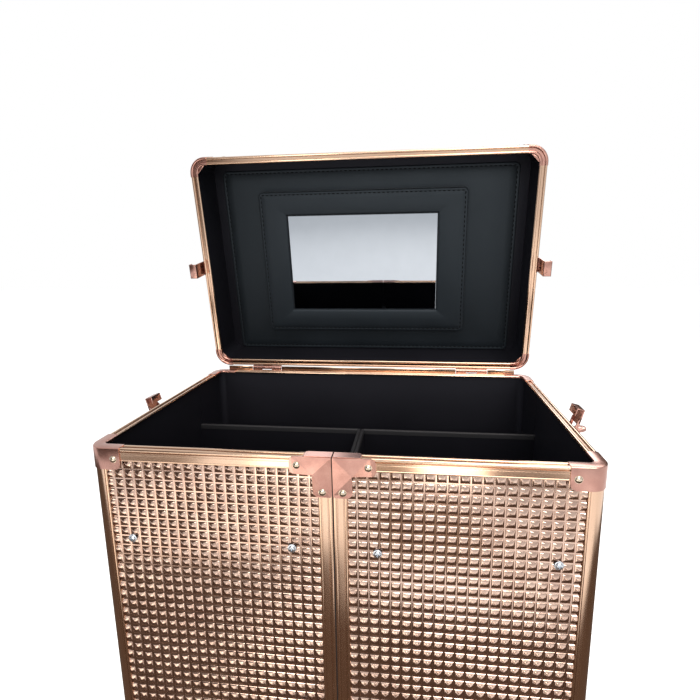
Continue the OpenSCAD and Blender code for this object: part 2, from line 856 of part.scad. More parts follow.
module lid_frame() {
    color(rose) open_lid() {
        translate([0, 0, lid_z]) mirror([0, 0, 1]) {
            run_x(-half_w + lid_leg, half_w - lid_leg, front_y, 0, 1) rim_section();
            run_x(-half_w + lid_leg, half_w - lid_leg, back_y, 0, -1) rim_section();
            both_sides() run_y(front_y + lid_leg, back_y - lid_leg, -half_w, 0) rim_section();
        }
        lid_ring(lid_z + rim_t, lid_z + rail_h, 0, skin);
        lid_ring(lid_top - rail_h, lid_top, 0, skin);
        lid_ring(lid_top - skin, lid_top, 0, rail_h);
        both_sides() for (m = [0, 1]) translate([0, mid_y, 0]) mirror([0, m, 0])
            translate([lid_r - half_w, lid_r - case_d / 2, lid_z + rim_t])
                linear_extrude(lid_h - rim_t - skin) quarter_ring(lid_r, skin);
    }
}

module lid_corners() {
    color(copper) open_lid() both_sides() for (m = [0, 1])
        translate([0, mid_y, 0]) mirror([0, m, 0]) translate([-half_w, -case_d / 2, 0]) {
            translate([0, 0, lid_z - plate_t / 2]) linear_extrude(rim_t + plate_t / 2)
                difference() {
                    corner_rect(lid_leg, lid_leg, lid_r);
                    difference() {
                        translate([rim_w, rim_w]) square(lid_leg);
                        translate([rim_w, rim_w]) rotate(45) square([9, 9], center = true);
                    }
                }
            corner_wrap(lid_r, lid_leg + 4, lid_z - plate_t / 2, lid_z + rail_h + 2);
            corner_wrap(lid_r, lid_leg + 4, lid_top - cap_drop, lid_top + plate_t);
            translate([0, 0, lid_top]) linear_extrude(plate_t)
                corner_rect(lid_leg + 4, lid_leg + 4, lid_r);
        }
}

module lid_panels() {
    z0 = lid_z + rail_h;
    z1 = lid_top - rail_h;
    color(panel_rose) open_lid() {
        for (y = [front_y + rail_proud, back_y - skin])
            block([-half_w + lid_r, y, z0], [half_w - lid_r, y + panel_t, z1]);
        both_sides() block([-half_w + rail_proud, front_y + lid_r, z0],
                           [-half_w + skin, back_y - lid_r, z1]);
        translate([0, 0, lid_top - skin]) linear_extrude(panel_t) lid_outline(-rail_h);
    }
}

lid_floor = lid_top - skin - wall_t;

module lid_lining() {
    color(black) open_lid() translate([0, mid_y + 5, lid_floor - pad_t])
        linear_extrude(pad_t) rounded(case_w - 2 * pad_margin - 4, case_d - 2 * pad_margin + 8, 6);
}

mirror_lap = 4;
mirror_sunk = 2;

module mirror_surround() {
    z = lid_floor - pad_t - surround_t;
    color(black) open_lid() translate([-mirror_left, mid_y + mirror_back, z]) difference() {
        linear_extrude(surround_t) rounded(surround_w, surround_h, 4);
        block([-mirror_w / 2, -mirror_h / 2, -cut], [mirror_w / 2, mirror_h / 2, mirror_sunk]);
        block([-mirror_w / 2 - mirror_lap, -mirror_h / 2 - mirror_lap, mirror_sunk],
              [mirror_w / 2 + mirror_lap, mirror_h / 2 + mirror_lap, mirror_sunk + mirror_t]);
    }
}

module mirror_glass() {
    z = lid_floor - pad_t - surround_t + mirror_sunk;
    color("#9fa8b2") open_lid() translate([-mirror_left, mid_y + mirror_back, z + mirror_t / 2])
        cube([mirror_w + 2 * mirror_lap, mirror_h + 2 * mirror_lap, mirror_t], center = true);
}

module lid_keepers() {
    leg_z = rail_h - 1;
    leg_top = leg_z + 16;
    keeper_lip = 7;
    t = keeper_t;
    color(copper) open_lid() both_sides() translate([half_w, mid_y, rim_z]) {
        block([0, -keeper_half, leg_z], [t, keeper_half, leg_top]);
        block([-rail_proud, -keeper_half, lid_gap + rail_h], [t, keeper_half, leg_top]);
        block([0, -keeper_half, leg_z], [keeper_gap + t, keeper_half, leg_z + t]);
        block([keeper_gap, -keeper_half, -keeper_drop], [keeper_gap + t, keeper_half, leg_z + t]);
        block([keeper_gap, -keeper_half, -keeper_drop],
              [keeper_out, keeper_half, t - keeper_drop]);
        block([keeper_out - t, -keeper_half, -keeper_drop],
              [keeper_out, keeper_half, keeper_lip - keeper_drop]);
    }
}

module lid_handle_sockets() {
    cheek = 3;
    cheek_r = 6;
    color(copper) open_lid() both_sides() translate([bail_l / 2, mid_y, lid_top]) {
        block([-socket_w / 2, -socket_l / 2, -rail_proud],
              [socket_w / 2 + cheek_r, socket_l / 2, cheek]);
        for (x = [-socket_w / 2, socket_w / 2 - cheek]) {
            block([x, -cheek_r, 0], [x + cheek, cheek_r, bail_up]);
            translate([x, 0, bail_up]) rotate([0, 90, 0]) cylinder(h = cheek, r = cheek_r);
        }
        translate([-socket_w / 2, 0, bail_up]) rotate([0, 90, 0])
            cylinder(h = socket_w, r = bail_pin_r);
    }
}

module lid_handle() {
    arm_w = socket_w / 2;
    arm_t = 5;
    color(copper) open_lid() translate([0, mid_y, lid_top + bail_up]) {
        both_sides() translate([bail_l / 2, 0, 0]) difference() {
            union() {
                translate([-arm_w / 2, 0, 0]) rotate([0, 90, 0]) cylinder(h = arm_w, r = 5);
                block([-arm_w / 2, 0, -arm_t / 2], [arm_w / 2, bail_reach, arm_t / 2]);
            }
            translate([-arm_w, 0, 0]) rotate([0, 90, 0])
                cylinder(h = 2 * arm_w, r = bail_pin_r + run_clear);
        }
        translate([-bail_l / 2 - arm_w / 2, bail_reach, 0]) rotate([0, 90, 0])
            cylinder(h = bail_l + arm_w, r = bail_grip_r);
    }
}

// Pull handle on the back

module tubes(z0, z1, r, t) {
    for (s = [-1, 1]) translate([s * tube_pitch / 2, tube_y, z0]) difference() {
        cylinder(h = z1 - z0, r = r);
        translate([0, 0, -cut]) cylinder(h = z1 - z0 + 2 * cut, r = r - t);
    }
}

module handle_guide_tubes() {
    color(zinc) tubes(base_top + 4, grip_z - move_clear, tube_r, tube_t);
}

module handle_brackets() {
    w = tube_pitch / 2 + tube_r + 12;
    color(grey) for (z = [base_top + 4, grip_z - bracket_h - move_clear]) difference() {
        block([-w, back_y, z], [w, tube_y + tube_r + 4, z + bracket_h]);
        for (s = [-1, 1]) translate([s * tube_pitch / 2, tube_y, z - cut])
            cylinder(h = bracket_h + 2 * cut, r = tube_r);
        block([-tube_pitch / 2 + tube_r + 8, back_y + 6, z - cut],
              [tube_pitch / 2 - tube_r - 8, tube_y + tube_r + 4 + cut, z + bracket_h + cut]);
    }
}

module handle_middle_tubes() {
    color("#c8ccd2") tubes(base_top + 30, grip_z - move_clear, mid_tube_r, tube_t);
}

module handle_inner_tubes() {
    color("#d5d8dd") tubes(base_top + 40, grip_z, inner_tube_r, tube_t);
}

button_w = 28;
button_d = 12;
button_h = 6;
button_up = 2;

module handle_grip() {
    l = tube_pitch + 2 * tube_r + 6;
    color(grey) difference() {
        translate([-l / 2, tube_y, grip_z + grip_h / 2]) rotate([90, 0, 90]) linear_extrude(l)
            rounded(grip_d, grip_h, 6);
        translate([0, tube_y, grip_top]) cube([button_w + 2 * move_clear,
            button_d + 2 * move_clear, 2 * (button_h + 2)], center = true);
    }
}

module handle_button() {
    color(copper) translate([0, tube_y, grip_top + button_up - button_h / 2])
        cube([button_w, button_d, button_h], center = true);
}

// Left and right halves

module left_door_box() {
    door_box();
}

module right_door_box() {
    mirror([1, 0, 0]) door_box();
}

module left_door_frame() {
    door_frame();
}

module right_door_frame() {
    mirror([1, 0, 0]) door_frame();
}

module left_corner_post() {
    corner_post();
}

module right_corner_post() {
    mirror([1, 0, 0]) corner_post();
}

module left_panels() {
    door_panels();
}

module right_panels() {
    mirror([1, 0, 0]) door_panels();
}

module left_brackets() {
    door_brackets();
}

module right_brackets() {
    mirror([1, 0, 0]) door_brackets();
}

module left_rivets() {
    door_rivets();
}

module right_rivets() {
    mirror([1, 0, 0]) door_rivets();
}

module left_panel_screws() {
    panel_screws();
}

module right_panel_screws() {
    mirror([1, 0, 0]) panel_screws();
}

module left_tool_rail() {
    tool_rail();
}

module right_tool_rail() {
    mirror([1, 0, 0]) tool_rail();
}

module left_hinge_leaves() {
    door_hinge_leaves();
}

module right_hinge_leaves() {
    mirror([1, 0, 0]) door_hinge_leaves();
}

module right_tyre() {
    wheel_tyre();
}

module left_tyre() {
    mirror([1, 0, 0]) wheel_tyre();
}

module right_hub() {
    wheel_hub();
}

module left_hub() {
    mirror([1, 0, 0]) wheel_hub();
}

base_plinth();
base_skirt();
front_feet();
wheel_housings();
wheel_axles();
rear_box();
rear_shelves();
rear_frame();
rear_corner_caps();
rear_panels();
lid_hinge_lower_leaves();
door_hinge_rear_leaves();
hinge_pins();
handle_guide_tubes();
handle_brackets();
left_door_box();
left_door_frame();
left_corner_post();
left_panels();
left_brackets();
left_rivets();
left_panel_screws();
left_tool_rail();
left_hinge_leaves();
left_latch_base();
left_latch_lever();
left_latch_claw();
right_door_box();
right_door_frame();
right_corner_post();
right_panels();
right_brackets();
right_rivets();
right_panel_screws();
right_tool_rail();
right_hinge_leaves();
right_latch_base();
right_latch_lever();
right_latch_claw();
lock_escutcheon();
lock_knob();
lid_box();
lid_frame();
lid_corners();
lid_panels();
lid_lining();
mirror_surround();
mirror_glass();
lid_keepers();
lid_hinge_upper_leaves();
lid_handle_sockets();
lid_handle();
handle_middle_tubes();
handle_inner_tubes();
handle_grip();
handle_button();
left_tyre();
left_hub();
right_tyre();
right_hub();
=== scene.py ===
# Rolling grooming box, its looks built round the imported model.
# Shapes are drawn in millimetres in the model's own frame and become metres as each piece is made.
import math

import bmesh
import bpy
from mathutils import Matrix, Vector


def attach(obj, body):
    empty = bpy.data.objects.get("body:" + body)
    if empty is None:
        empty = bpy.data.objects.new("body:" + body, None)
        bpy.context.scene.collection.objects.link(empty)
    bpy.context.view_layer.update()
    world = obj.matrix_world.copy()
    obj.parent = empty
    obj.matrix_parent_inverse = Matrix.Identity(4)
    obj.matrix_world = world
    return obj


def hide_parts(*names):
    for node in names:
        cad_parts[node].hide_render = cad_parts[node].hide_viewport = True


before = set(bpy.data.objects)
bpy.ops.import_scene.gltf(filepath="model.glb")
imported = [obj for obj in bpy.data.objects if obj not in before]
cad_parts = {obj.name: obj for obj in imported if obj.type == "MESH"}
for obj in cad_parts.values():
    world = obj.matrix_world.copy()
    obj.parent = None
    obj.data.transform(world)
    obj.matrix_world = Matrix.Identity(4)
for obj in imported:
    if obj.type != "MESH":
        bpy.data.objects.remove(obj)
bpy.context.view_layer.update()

X, Y, Z = Vector((1, 0, 0)), Vector((0, 1, 0)), Vector((0, 0, 1))
# The case: half its width, its depth, the height of its rim, and the clearance beside its joints.
HALF_W, CASE_D, RIM, GAP = 200.0, 258.0, 575.0, 0.4
FRONT = -153.1
BACK = FRONT + CASE_D
MID = FRONT + CASE_D / 2
# The joint in the sides: the front halves end at SEAM and the rear case begins at REAR.
SEAM = FRONT + 191.0
REAR = SEAM + GAP
HALF_X, HALF_D = HALF_W - GAP, SEAM - GAP - FRONT
# Heights of the base's underside and top, and of the halves' lower edge.
BASE_Z, BASE_TOP, HALF_Z = 26.0, 62.0, 62.8
# Radius of the corner posts, height of the rails, thickness of rails and posts.
POST_R, RAIL_H, SKIN = 13.0, 11.0, 2.4
# How far behind the case's faces the panels' valleys lie, and how far the rim's rails start from a corner.
SHEET_IN, RIM_START = 2.0, 20.0
# Pressed plates: thickness, reach round a corner, height, and rise above the rim.
PLATE, CAP_REACH, CAP_H, CAP_RISE = 0.8, 28.0, 18.0, 0.4
# Rivets of a corner plate: from the case's corner, and from the plate's outer edge.
RIVET_IN, RIVET_EDGE = 22.5, 9.0
# The closed lid: its lower and upper edge, its corner radius, and its rim's elbow.
LID_Z, LID_TOP, LID_R, LID_LEG = 576.6, 638.6, 18.0, 21.0
LID_BOARD = 3.0
LID_FLOOR = LID_TOP - SKIN - LID_BOARD
HINGE_Y, HINGE_Z, OPEN_ANGLE = BACK + 3.0, RIM + 3.0, 80.7
# The mirror and the thread of the sewn pads, measured in from a pad's edge.
MIRROR_W, MIRROR_H, MIRROR_X, MIRROR_Y = 188.0, 122.0, -6.0, MID + 3
SEAM_IN = 6.9
# Centre of the turn button, left of the middle, and the height of the screws in the front panels.
LOCK_X, LOCK_Z = 26.0, 310.0
TOOL_Z = RIM - 79
WHEEL_X, AXLE_Y, WHEEL_R = 170.0, BACK - 14.0, 28.0
FOOT_X, FOOT_Y = 170.0, FRONT + 30
# Where the skirt stops beside a wheel.
WELL_LOW, WELL_HIGH = WHEEL_X - 15, WHEEL_X + 15
# Pull handle: its tubes, their bore in the brackets, and its grip.
TUBE_X, TUBE_Y, BORE_R = 65.0, BACK + 13.0, 9.15
GRIP_Z, GRIP_TOP = 454.0, 475.0
BRACKET_Z = (BASE_TOP + 4, GRIP_Z - 20.3)
# Latch: its main pin from the rim, the claw's pin from that one, and the claw's and the keeper's reach.
MAIN_PIN, CLAW_PIN = Vector((7, 0, -24)), Vector((2.5, 0, -5.5))
CLAW_H, KEEPER_DROP = 24.0, 15.0
# Carry handle: its pivot from the middle and above the lid, and its grip from the pivot.
BAIL_X, BAIL_UP, BAIL_REACH = 65.0, 9.0, 32.0
# Cells of the embossed film, and how each is pressed, step by step: inward and up.
PITCH = 8.5
PRESSING = ((0.5, 0), (0.1, 0.08), (1.3, 0.68), (1.3, 0.54), (0.72, 0.2), (0.25, 0.025))

SAME = Matrix.Identity(4)
FLIP = Matrix.Scale(-1, 4, X)
LID_OPEN = (Matrix.Translation((0, HINGE_Y, HINGE_Z)) @ Matrix.Rotation(math.radians(-OPEN_ANGLE), 4, "X")
            @ Matrix.Translation((0, -HINGE_Y, -HINGE_Z)))
# The front halves are drawn on the left.
SIDES = (("left", SAME), ("right", FLIP))


# Places

def at(origin, x=X, y=Y, z=Z):
    """Where a shape goes: its origin, and the directions that its own axes take."""
    place = Matrix((x, y, z)).transposed().to_4x4()
    place.translation = origin
    return place


def facing(spot, out):
    """Where a shape that stands on XY goes, so that it faces out."""
    along = X if abs(out.z) > 0.5 else Z.cross(out)
    return at(spot, along, out.cross(along), out)


def placed(shape, place):
    shape.transform(place)
    return shape


def on_both_sides(draw):
    """Shapes drawn on one side, and the same shapes mirrored to the other."""
    return draw() + [placed(shape, FLIP) for shape in draw()]


# Shapes

def verts_of(geom):
    return [g for g in geom if isinstance(g, bmesh.types.BMVert)]


def edges_of(geom):
    return [g for g in geom if isinstance(g, bmesh.types.BMEdge)]


def round_edges(shape, edges, radius, steps, affect="EDGES"):
    bmesh.ops.bevel(shape, geom=edges, offset=radius, offset_type="OFFSET", segments=steps, profile=0.5,
                    affect=affect, clamp_overlap=True, material=-1)


def round_corners(shape, corners, radius, steps=5):
    round_edges(shape, corners, radius, steps, "VERTICES")


def thicken(shape, along):
    """Gives flat faces a thickness, and keeps them as the near side."""
    far = bmesh.ops.extrude_face_region(shape, geom=shape.faces[:], use_keep_orig=True)
    bmesh.ops.translate(shape, verts=verts_of(far["geom"]), vec=along)


def close_holes(shape, edges):
    bmesh.ops.holes_fill(shape, edges=[e for e in edges if e.is_boundary], sides=0)


def rectangle(x0, z0, x1, z1):
    return [(x0, z0), (x1, z0), (x1, z1), (x0, z1)]


def loop_points(w, d, x, y, z):
    """Corners of a rectangle on XY, given its width, its depth and its middle."""
    return [(x + sx * w / 2, y + sy * d / 2, z) for sx, sy in ((-1, -1), (1, -1), (1, 1), (-1, 1))]


def slab(corners, thick, rounds=(), edge=0.0, both=False):
    """Plate or bar cut to an outline in XZ, thick along +Y; rounds lists a radius and its corners."""
    shape = bmesh.new()
    points = [shape.verts.new((x, 0, z)) for x, z in corners]
    shape.faces.new(points)
    for radius, which in rounds:
        round_corners(shape, [points[i] for i in which], radius)
    thicken(shape, Y * thick)
    if edge:
        ends = (0, thick) if both else (0,)
        rims = [e for e in shape.edges if any(all(abs(v.co.y - y) < 1e-5 for v in e.verts) for y in ends)]
        round_edges(shape, rims, edge, 2)
    return shape


def bar(low, high, edge=0.4, steps=2):
    """Block between two opposite corners, its edges rounded."""
    low, high = Vector(low), Vector(high)
    shape = bmesh.new()
    size = Matrix.Diagonal((*(abs(b - a) for a, b in zip(low, high)), 1))
    bmesh.ops.create_cube(shape, size=1, matrix=Matrix.Translation((low + high) / 2) @ size)
    if edge:
        round_edges(shape, shape.edges[:], edge, steps)
    return shape


def rod(start, end, radius, sides=24, edge=0.0):
    """Round bar from start to end, its rims rounded by edge."""
    start, end = Vector(start), Vector(end)
    run = end - start
    shape = bmesh.new()
    turn = run.to_track_quat("Z", "Y").to_matrix().to_4x4()
    bmesh.ops.create_cone(shape, cap_ends=True, segments=sides, radius1=radius, radius2=radius,
                          depth=run.length, matrix=Matrix.Translation((start + end) / 2) @ turn)
    if edge:
        rims = [e for e in shape.edges if any(len(f.verts) > 4 for f in e.link_faces)]
        round_edges(shape, rims, edge, 3)
    return shape


def turned(profile, sides=32):
    """Turned on a lathe about Z from a profile of radius and height."""
    shape = bmesh.new()
    points = [shape.verts.new((r, 0, z)) for r, z in profile]
    for a, b in zip(points, points[1:]):
        shape.edges.new((a, b))
    bmesh.ops.spin(shape, geom=shape.verts[:] + shape.edges[:], cent=(0, 0, 0), axis=Z, angle=math.tau,
                   steps=sides, use_merge=True)
    bmesh.ops.remove_doubles(shape, verts=shape.verts, dist=0.001)
    bmesh.ops.recalc_face_normals(shape, faces=shape.faces)
    return shape


def loft(rings, steps=4, ends=True):
    """Skin over rounded rectangles, each a width, a depth, a corner radius and a height."""
    def in_turn(points):
        return sorted(points, key=lambda v: math.atan2(v.co.y, v.co.x))

    shape = bmesh.new()
    edges = first = None
    for w, d, radius, z in rings:
        ring = bmesh.new()
        points = [ring.verts.new(corner) for corner in loop_points(w, d, 0, 0, z)]
        for a, b in zip(points, points[1:] + points[:1]):
            ring.edges.new((a, b))
        round_corners(ring, points, radius, steps)
        if edges is None:
            mesh = bpy.data.meshes.new("ring")
            ring.to_mesh(mesh)
            shape.from_mesh(mesh)
            bpy.data.meshes.remove(mesh)
            edges = first = shape.edges[:]
        else:
            grown = bmesh.ops.extrude_edge_only(shape, edges=edges)["geom"]
            for point, target in zip(in_turn(verts_of(grown)), in_turn(ring.verts)):
                point.co = target.co
            edges = [e for e in edges_of(grown) if e.is_boundary]
        ring.free()
    if ends:
        bmesh.ops.edgeloop_fill(shape, edges=first)
        bmesh.ops.edgeloop_fill(shape, edges=edges)
    bmesh.ops.recalc_face_normals(shape, faces=shape.faces)
    return shape


def pressed_sheet(width, height):
    """Sheet pressed into rows of rounded pyramids, centred on XY, with its valleys at z = 0."""
    columns, rows = math.ceil(width / PITCH), math.ceil(height / PITCH)
    shape = bmesh.new()
    bmesh.ops.create_grid(shape, x_segments=columns, y_segments=rows, size=0.5)
    bmesh.ops.scale(shape, vec=(columns * PITCH, rows * PITCH, 1), verts=shape.verts)
    cells = shape.faces[:]
    for inward, up in PRESSING:
        bmesh.ops.inset_individual(shape, faces=cells, thickness=inward, depth=up, use_even_offset=True)
    for end, out in ((width / 2, X), (width / 2, -X), (height / 2, Y), (height / 2, -Y)):
        bmesh.ops.bisect_plane(shape, geom=shape.verts[:] + shape.edges[:] + shape.faces[:],
                               plane_co=out * end, plane_no=out, clear_outer=True)
    rim = bmesh.ops.extrude_edge_only(shape, edges=[e for e in shape.edges if e.is_boundary])
    bmesh.ops.scale(shape, vec=(1, 1, 0), verts=verts_of(rim["geom"]))
    bmesh.ops.translate(shape, vec=(0, 0, -0.4), verts=verts_of(rim["geom"]))
    close_holes(shape, shape.edges)
    return shape


def sheet(width, height, middle, out):
    """Pressed sheet on one of the case's faces: X runs along it, or Y on the sides."""
    along = Y if abs(out.x) > 0.5 else X
    up = Y if abs(out.z) > 0.5 else Z
    return placed(pressed_sheet(width, height), at(middle, along, up, out))


def face_outward(shape):
    """Turns the faces of a bent sheet outwards, so that its wall grows inwards."""
    bmesh.ops.recalc_face_normals(shape, faces=shape.faces)
    foremost = min(shape.faces, key=lambda f: f.calc_center_median().y)
    if foremost.normal.y > 0:
        bmesh.ops.reverse_faces(shape, faces=shape.faces)


def bent_plate(radius, reach, low, high, fold=0.0, corner=5.0):
    """Plate wrapped round an upright corner at the origin, and over the rim where fold is given."""
    shape = bmesh.new()
    section = [(reach, -PLATE, low), (reach, -PLATE, high)]
    if fold:
        section += [(reach, fold, high), (reach, fold, high - 3.2)]
    points = [shape.verts.new(p) for p in section]
    edges = [shape.edges.new(pair) for pair in zip(points, points[1:])]
    run = bmesh.ops.extrude_edge_only(shape, edges=edges)["geom"]
    bmesh.ops.translate(shape, verts=verts_of(run), vec=(radius - reach, 0, 0))
    edges = [e for e in edges_of(run) if all(abs(v.co.x - radius) < 1e-4 for v in e.verts)]
    bend = bmesh.ops.spin(shape, geom=edges, cent=(radius, radius, 0), axis=Z, angle=-math.pi / 2, steps=10)
    run = bmesh.ops.extrude_edge_only(shape, edges=edges_of(bend["geom_last"]))["geom"]
    bmesh.ops.translate(shape, verts=verts_of(run), vec=(0, reach - radius, 0))
    bmesh.ops.remove_doubles(shape, verts=shape.verts, dist=0.001)
    for z in (low,) if fold else (low, high):
        for end in ((reach, -PLATE, z), (-PLATE, reach, z)):
            round_corners(shape, [v for v in shape.verts if (v.co - Vector(end)).length < 0.01], corner)
    face_outward(shape)
    if fold:
        folds = [e for e in shape.edges if e.is_manifold and e.calc_face_angle() > 1]
        round_edges(shape, folds, 1.4, 3)
    bmesh.ops.solidify(shape, geom=shape.faces[:], thickness=PLATE)
    return shape


def quarter(radius, low, high):
    """Quarter-round wall, its outer corner at the origin."""
    shape = bmesh.new()
    ends = [shape.verts.new((radius, 0, low)), shape.verts.new((radius, 0, high))]
    bmesh.ops.spin(shape, geom=ends + [shape.edges.new(ends)], cent=(radius, radius, 0), axis=Z,
                   angle=-math.pi / 2, steps=14)
    face_outward(shape)
    bmesh.ops.solidify(shape, geom=shape.faces[:], thickness=SKIN)
    return shape


def corner_post(radius, low, high):
    """Quarter-round post with a bead along each edge, its outer corner at the origin."""
    bead_in, bead_r = 0.9, 1.1
    post = [quarter(radius, low, high)]
    for x, y in ((radius + bead_in, bead_in), (bead_in, radius + bead_in)):
        post.append(rod((x, y, low), (x, y, high), bead_r, 12))
    return post


# Rails: each section is an outline, the case's face at x = 0, and its rounded corners

def groove(low, high, deep, slope=0.2):
    """Points of a groove across the face of an outline."""
    return [(0, low), (deep, low + slope), (deep, high - slope), (0, high)]


RIM_RAIL = ([(0, -RAIL_H), *groove(-9.9, -9.1, 0.2), *groove(-5.4, -4.6, 0.15), *groove(-3.4, -2.7, 0.7),
             (0, 0), (3, 0), (3, -1.3), (5.5, -1.3), (5.5, 0), (8.5, 0), (8.5, -3), (SKIN, -3),
             (SKIN, -RAIL_H)],
            [(1.4, (13, 18)), (1.15, (14, 17)), (0.5, (0, 12)), (1.2, (19,))])
FOOT_RAIL = ([(0, 0), *groove(1.1, 2.0, 0.4), *groove(6.6, 7.5, 0.4), *groove(8.8, 9.5, 0.5),
              (0, RAIL_H), (SKIN, RAIL_H), (SKIN, 0)],
             [(0.5, (0, 13))])
STILE = ([(0, SKIN), (0, 0), (2.3, 0), (2.5, 0.45), (3.1, 0.45), (3.3, 0.1), (7.3, 0.1), (7.5, 0.45),
          (8.1, 0.45), (8.3, 0), (RAIL_H, 0), (RAIL_H, SKIN)],
         [(1.1, (1,)), (0.6, (2, 9, 10))])
# Angle along the lid's upper edges: a face 11 mm high and a top strip 11 mm wide.
LID_ANGLE = ([(0, -RAIL_H), (0, 0), (RAIL_H, 0), (RAIL_H, -0.9), (SKIN, -SKIN), (SKIN, -RAIL_H)],
             [(2.0, (1,)), (0.5, (0, 2))])
SKIRT_H = BASE_TOP - BASE_Z
SKIRT_RAIL = ([(0, 0), *groove(1.8, 3.3, 0.45, 0.3), *groove(SKIRT_H - 3.3, SKIRT_H - 1.8, 0.45, 0.3),
               (0, SKIRT_H), (SKIN, SKIRT_H), (SKIN, 0)],
              [(0.6, (0, 9))])


def rail(section, origin, inward, run, length, up=Z):
    outline, rounds = section
    return placed(slab(outline, length, rounds), at(origin, inward, run, up))


# Rivets, screws and thread

def dome_rivet(radius=3.0, height=1.6):
    """Domed head with a thin flange, standing on XY."""
    return turned([(0, height), (0.55 * radius, 0.9 * height), (0.86 * radius, 0.4 * height),
                   (0.9 * radius, 0.16 * height), (radius, 0.14 * height), (radius, -0.1), (0, -0.1)], 20)


def rivet(spot, out):
    return placed(dome_rivet(), facing(spot, out))


def corner_rivets(y, out, z):
    """The two rivets of a plate bent round a left corner at y, whose broad side faces out."""
    return [rivet((-HALF_W + RIVET_IN, y + PLATE * out.y, z), out),
            rivet((-HALF_W - PLATE, y - RIVET_IN * out.y, z), -X)]


def screw(radius=2.7, height=1.5):
    """Pan head with a cross recess, standing on XY."""
    shape = bmesh.new()
    a, b = radius * 0.13, radius * 0.55
    corners = [(a, a), (a, b), (-a, b), (-a, a), (-b, a), (-b, -a),
               (-a, -a), (-a, -b), (a, -b), (a, -a), (b, -a), (b, a)]
    cross = shape.faces.new([shape.verts.new((x, y, height)) for x, y in corners])
    edges = cross.edges[:]
    for reach, z in ((0.72, height * 0.97), (0.93, height * 0.7), (1.0, height * 0.3), (1.0, -0.1)):
        ring = bmesh.ops.extrude_edge_only(shape, edges=edges)["geom"]
        for v in verts_of(ring):
            v.co = Vector((v.co.x, v.co.y, 0)).normalized() * radius * reach + Z * z
        edges = [e for e in edges_of(ring) if e.is_boundary]
    close_holes(shape, edges)
    bmesh.ops.inset_individual(shape, faces=[cross], thickness=a * 0.35, depth=-0.6 * height)
    bmesh.ops.recalc_face_normals(shape, faces=shape.faces)
    return shape


def leaf_screws(spots, out):
    return [placed(screw(2.4, 0.9), facing(spot, out)) for spot in spots]


def stitches(path, gap=5.6, length=3.6, width=1.3, rise=0.35):
    """Short raised threads along a closed run of points, on the XY plane."""
    threads = []
    for a, b in zip(path, path[1:] + path[:1]):
        a, b = Vector(a), Vector(b)
        count = max(1, round((b - a).length / gap))
        along = (b - a).normalized()
        for i in range(count):
            thread = bmesh.new()
            bmesh.ops.create_uvsphere(thread, u_segments=8, v_segments=4, radius=1)
            spot = a + (b - a) * (i + 0.5) / count
            threads.append(placed(thread, at(spot, along * length / 2, Z.cross(along) * width / 2, Z * rise)))
    return threads


# Finishes

def linear(code):
    """Linear colour of an sRGB hex value."""
    parts = [int(code[i:i + 2], 16) / 255 for i in (1, 3, 5)]
    return [c / 12.92 if c <= 0.04045 else ((c + 0.055) / 1.055) ** 2.4 for c in parts] + [1]


def add(tree, kind, links=None, **settings):
    """Adds a node with its settings; links gives each input a value or another node's output."""
    made = tree.nodes.new(kind)
    for name, value in settings.items():
        setattr(made, name, value)
    for name, value in (links or {}).items():
        if isinstance(value, bpy.types.NodeSocket):
            tree.links.new(value, made.inputs[name])
        else:
            made.inputs[name].default_value = value
    return made


def finish(name, **constants):
    """Material with its shader's constants set on the shader's own sockets."""
    material = bpy.data.materials.new(name)
    material.use_nodes = True
    tree = material.node_tree
    shader = tree.nodes["Principled BSDF"]
    for socket, value in constants.items():
        shader.inputs[socket.replace("_", " ")].default_value = value
    return material, tree, shader, add(tree, "ShaderNodeTexCoord").outputs["Object"]


def bump(tree, shader, height, depth, strength=1.0):
    """Relief of a given depth in millimetres."""
    made = add(tree, "ShaderNodeBump", {"Height": height, "Distance": depth / 1000, "Strength": strength})
    tree.links.new(made.outputs["Normal"], shader.inputs["Normal"])


def tint(tree, shader, amount, low, high):
    """Base colour between two hex values."""
    mix = add(tree, "ShaderNodeMix", {0: amount, 6: linear(low), 7: linear(high)}, data_type="RGBA")
    tree.links.new(mix.outputs[2], shader.inputs["Base Color"])


def spread(tree, shader, amount, low, high):
    """Roughness between two values."""
    made = add(tree, "ShaderNodeMapRange", {"Value": amount, "To Min": low, "To Max": high})
    tree.links.new(made.outputs["Result"], shader.inputs["Roughness"])


def brushed_anodised_aluminium(name, run):
    """Extruded aluminium, brushed along its run and anodised rose gold: fine long streaks in the sheen."""
    material, tree, shader, where = finish(name, Metallic=1.0)
    # Brush lines are about 0.2 mm apart; they're drawn 0.7 mm apart, so that they show.
    scale = [0.2 if axis == run else 1400.0 for axis in "XYZ"]
    long = add(tree, "ShaderNodeMapping", {"Vector": where, "Scale": scale}).outputs["Vector"]
    streaks = add(tree, "ShaderNodeTexNoise", {"Vector": long, "Scale": 1.0, "Detail": 3.0}).outputs["Fac"]
    cloud = add(tree, "ShaderNodeTexNoise", {"Vector": where, "Scale": 25.0, "Detail": 2.0}).outputs["Fac"]
    blend = add(tree, "ShaderNodeMath", {0: streaks, 1: cloud}, operation="MULTIPLY").outputs[0]
    wide = add(tree, "ShaderNodeMapRange", {"Value": blend, "From Min": 0.08, "From Max": 0.46}).outputs[0]
    tint(tree, shader, wide, "#c6a68e", "#cfb19a")
    spread(tree, shader, streaks, 0.11, 0.14)
    bump(tree, shader, streaks, 0.0003, 0.15)
    return material


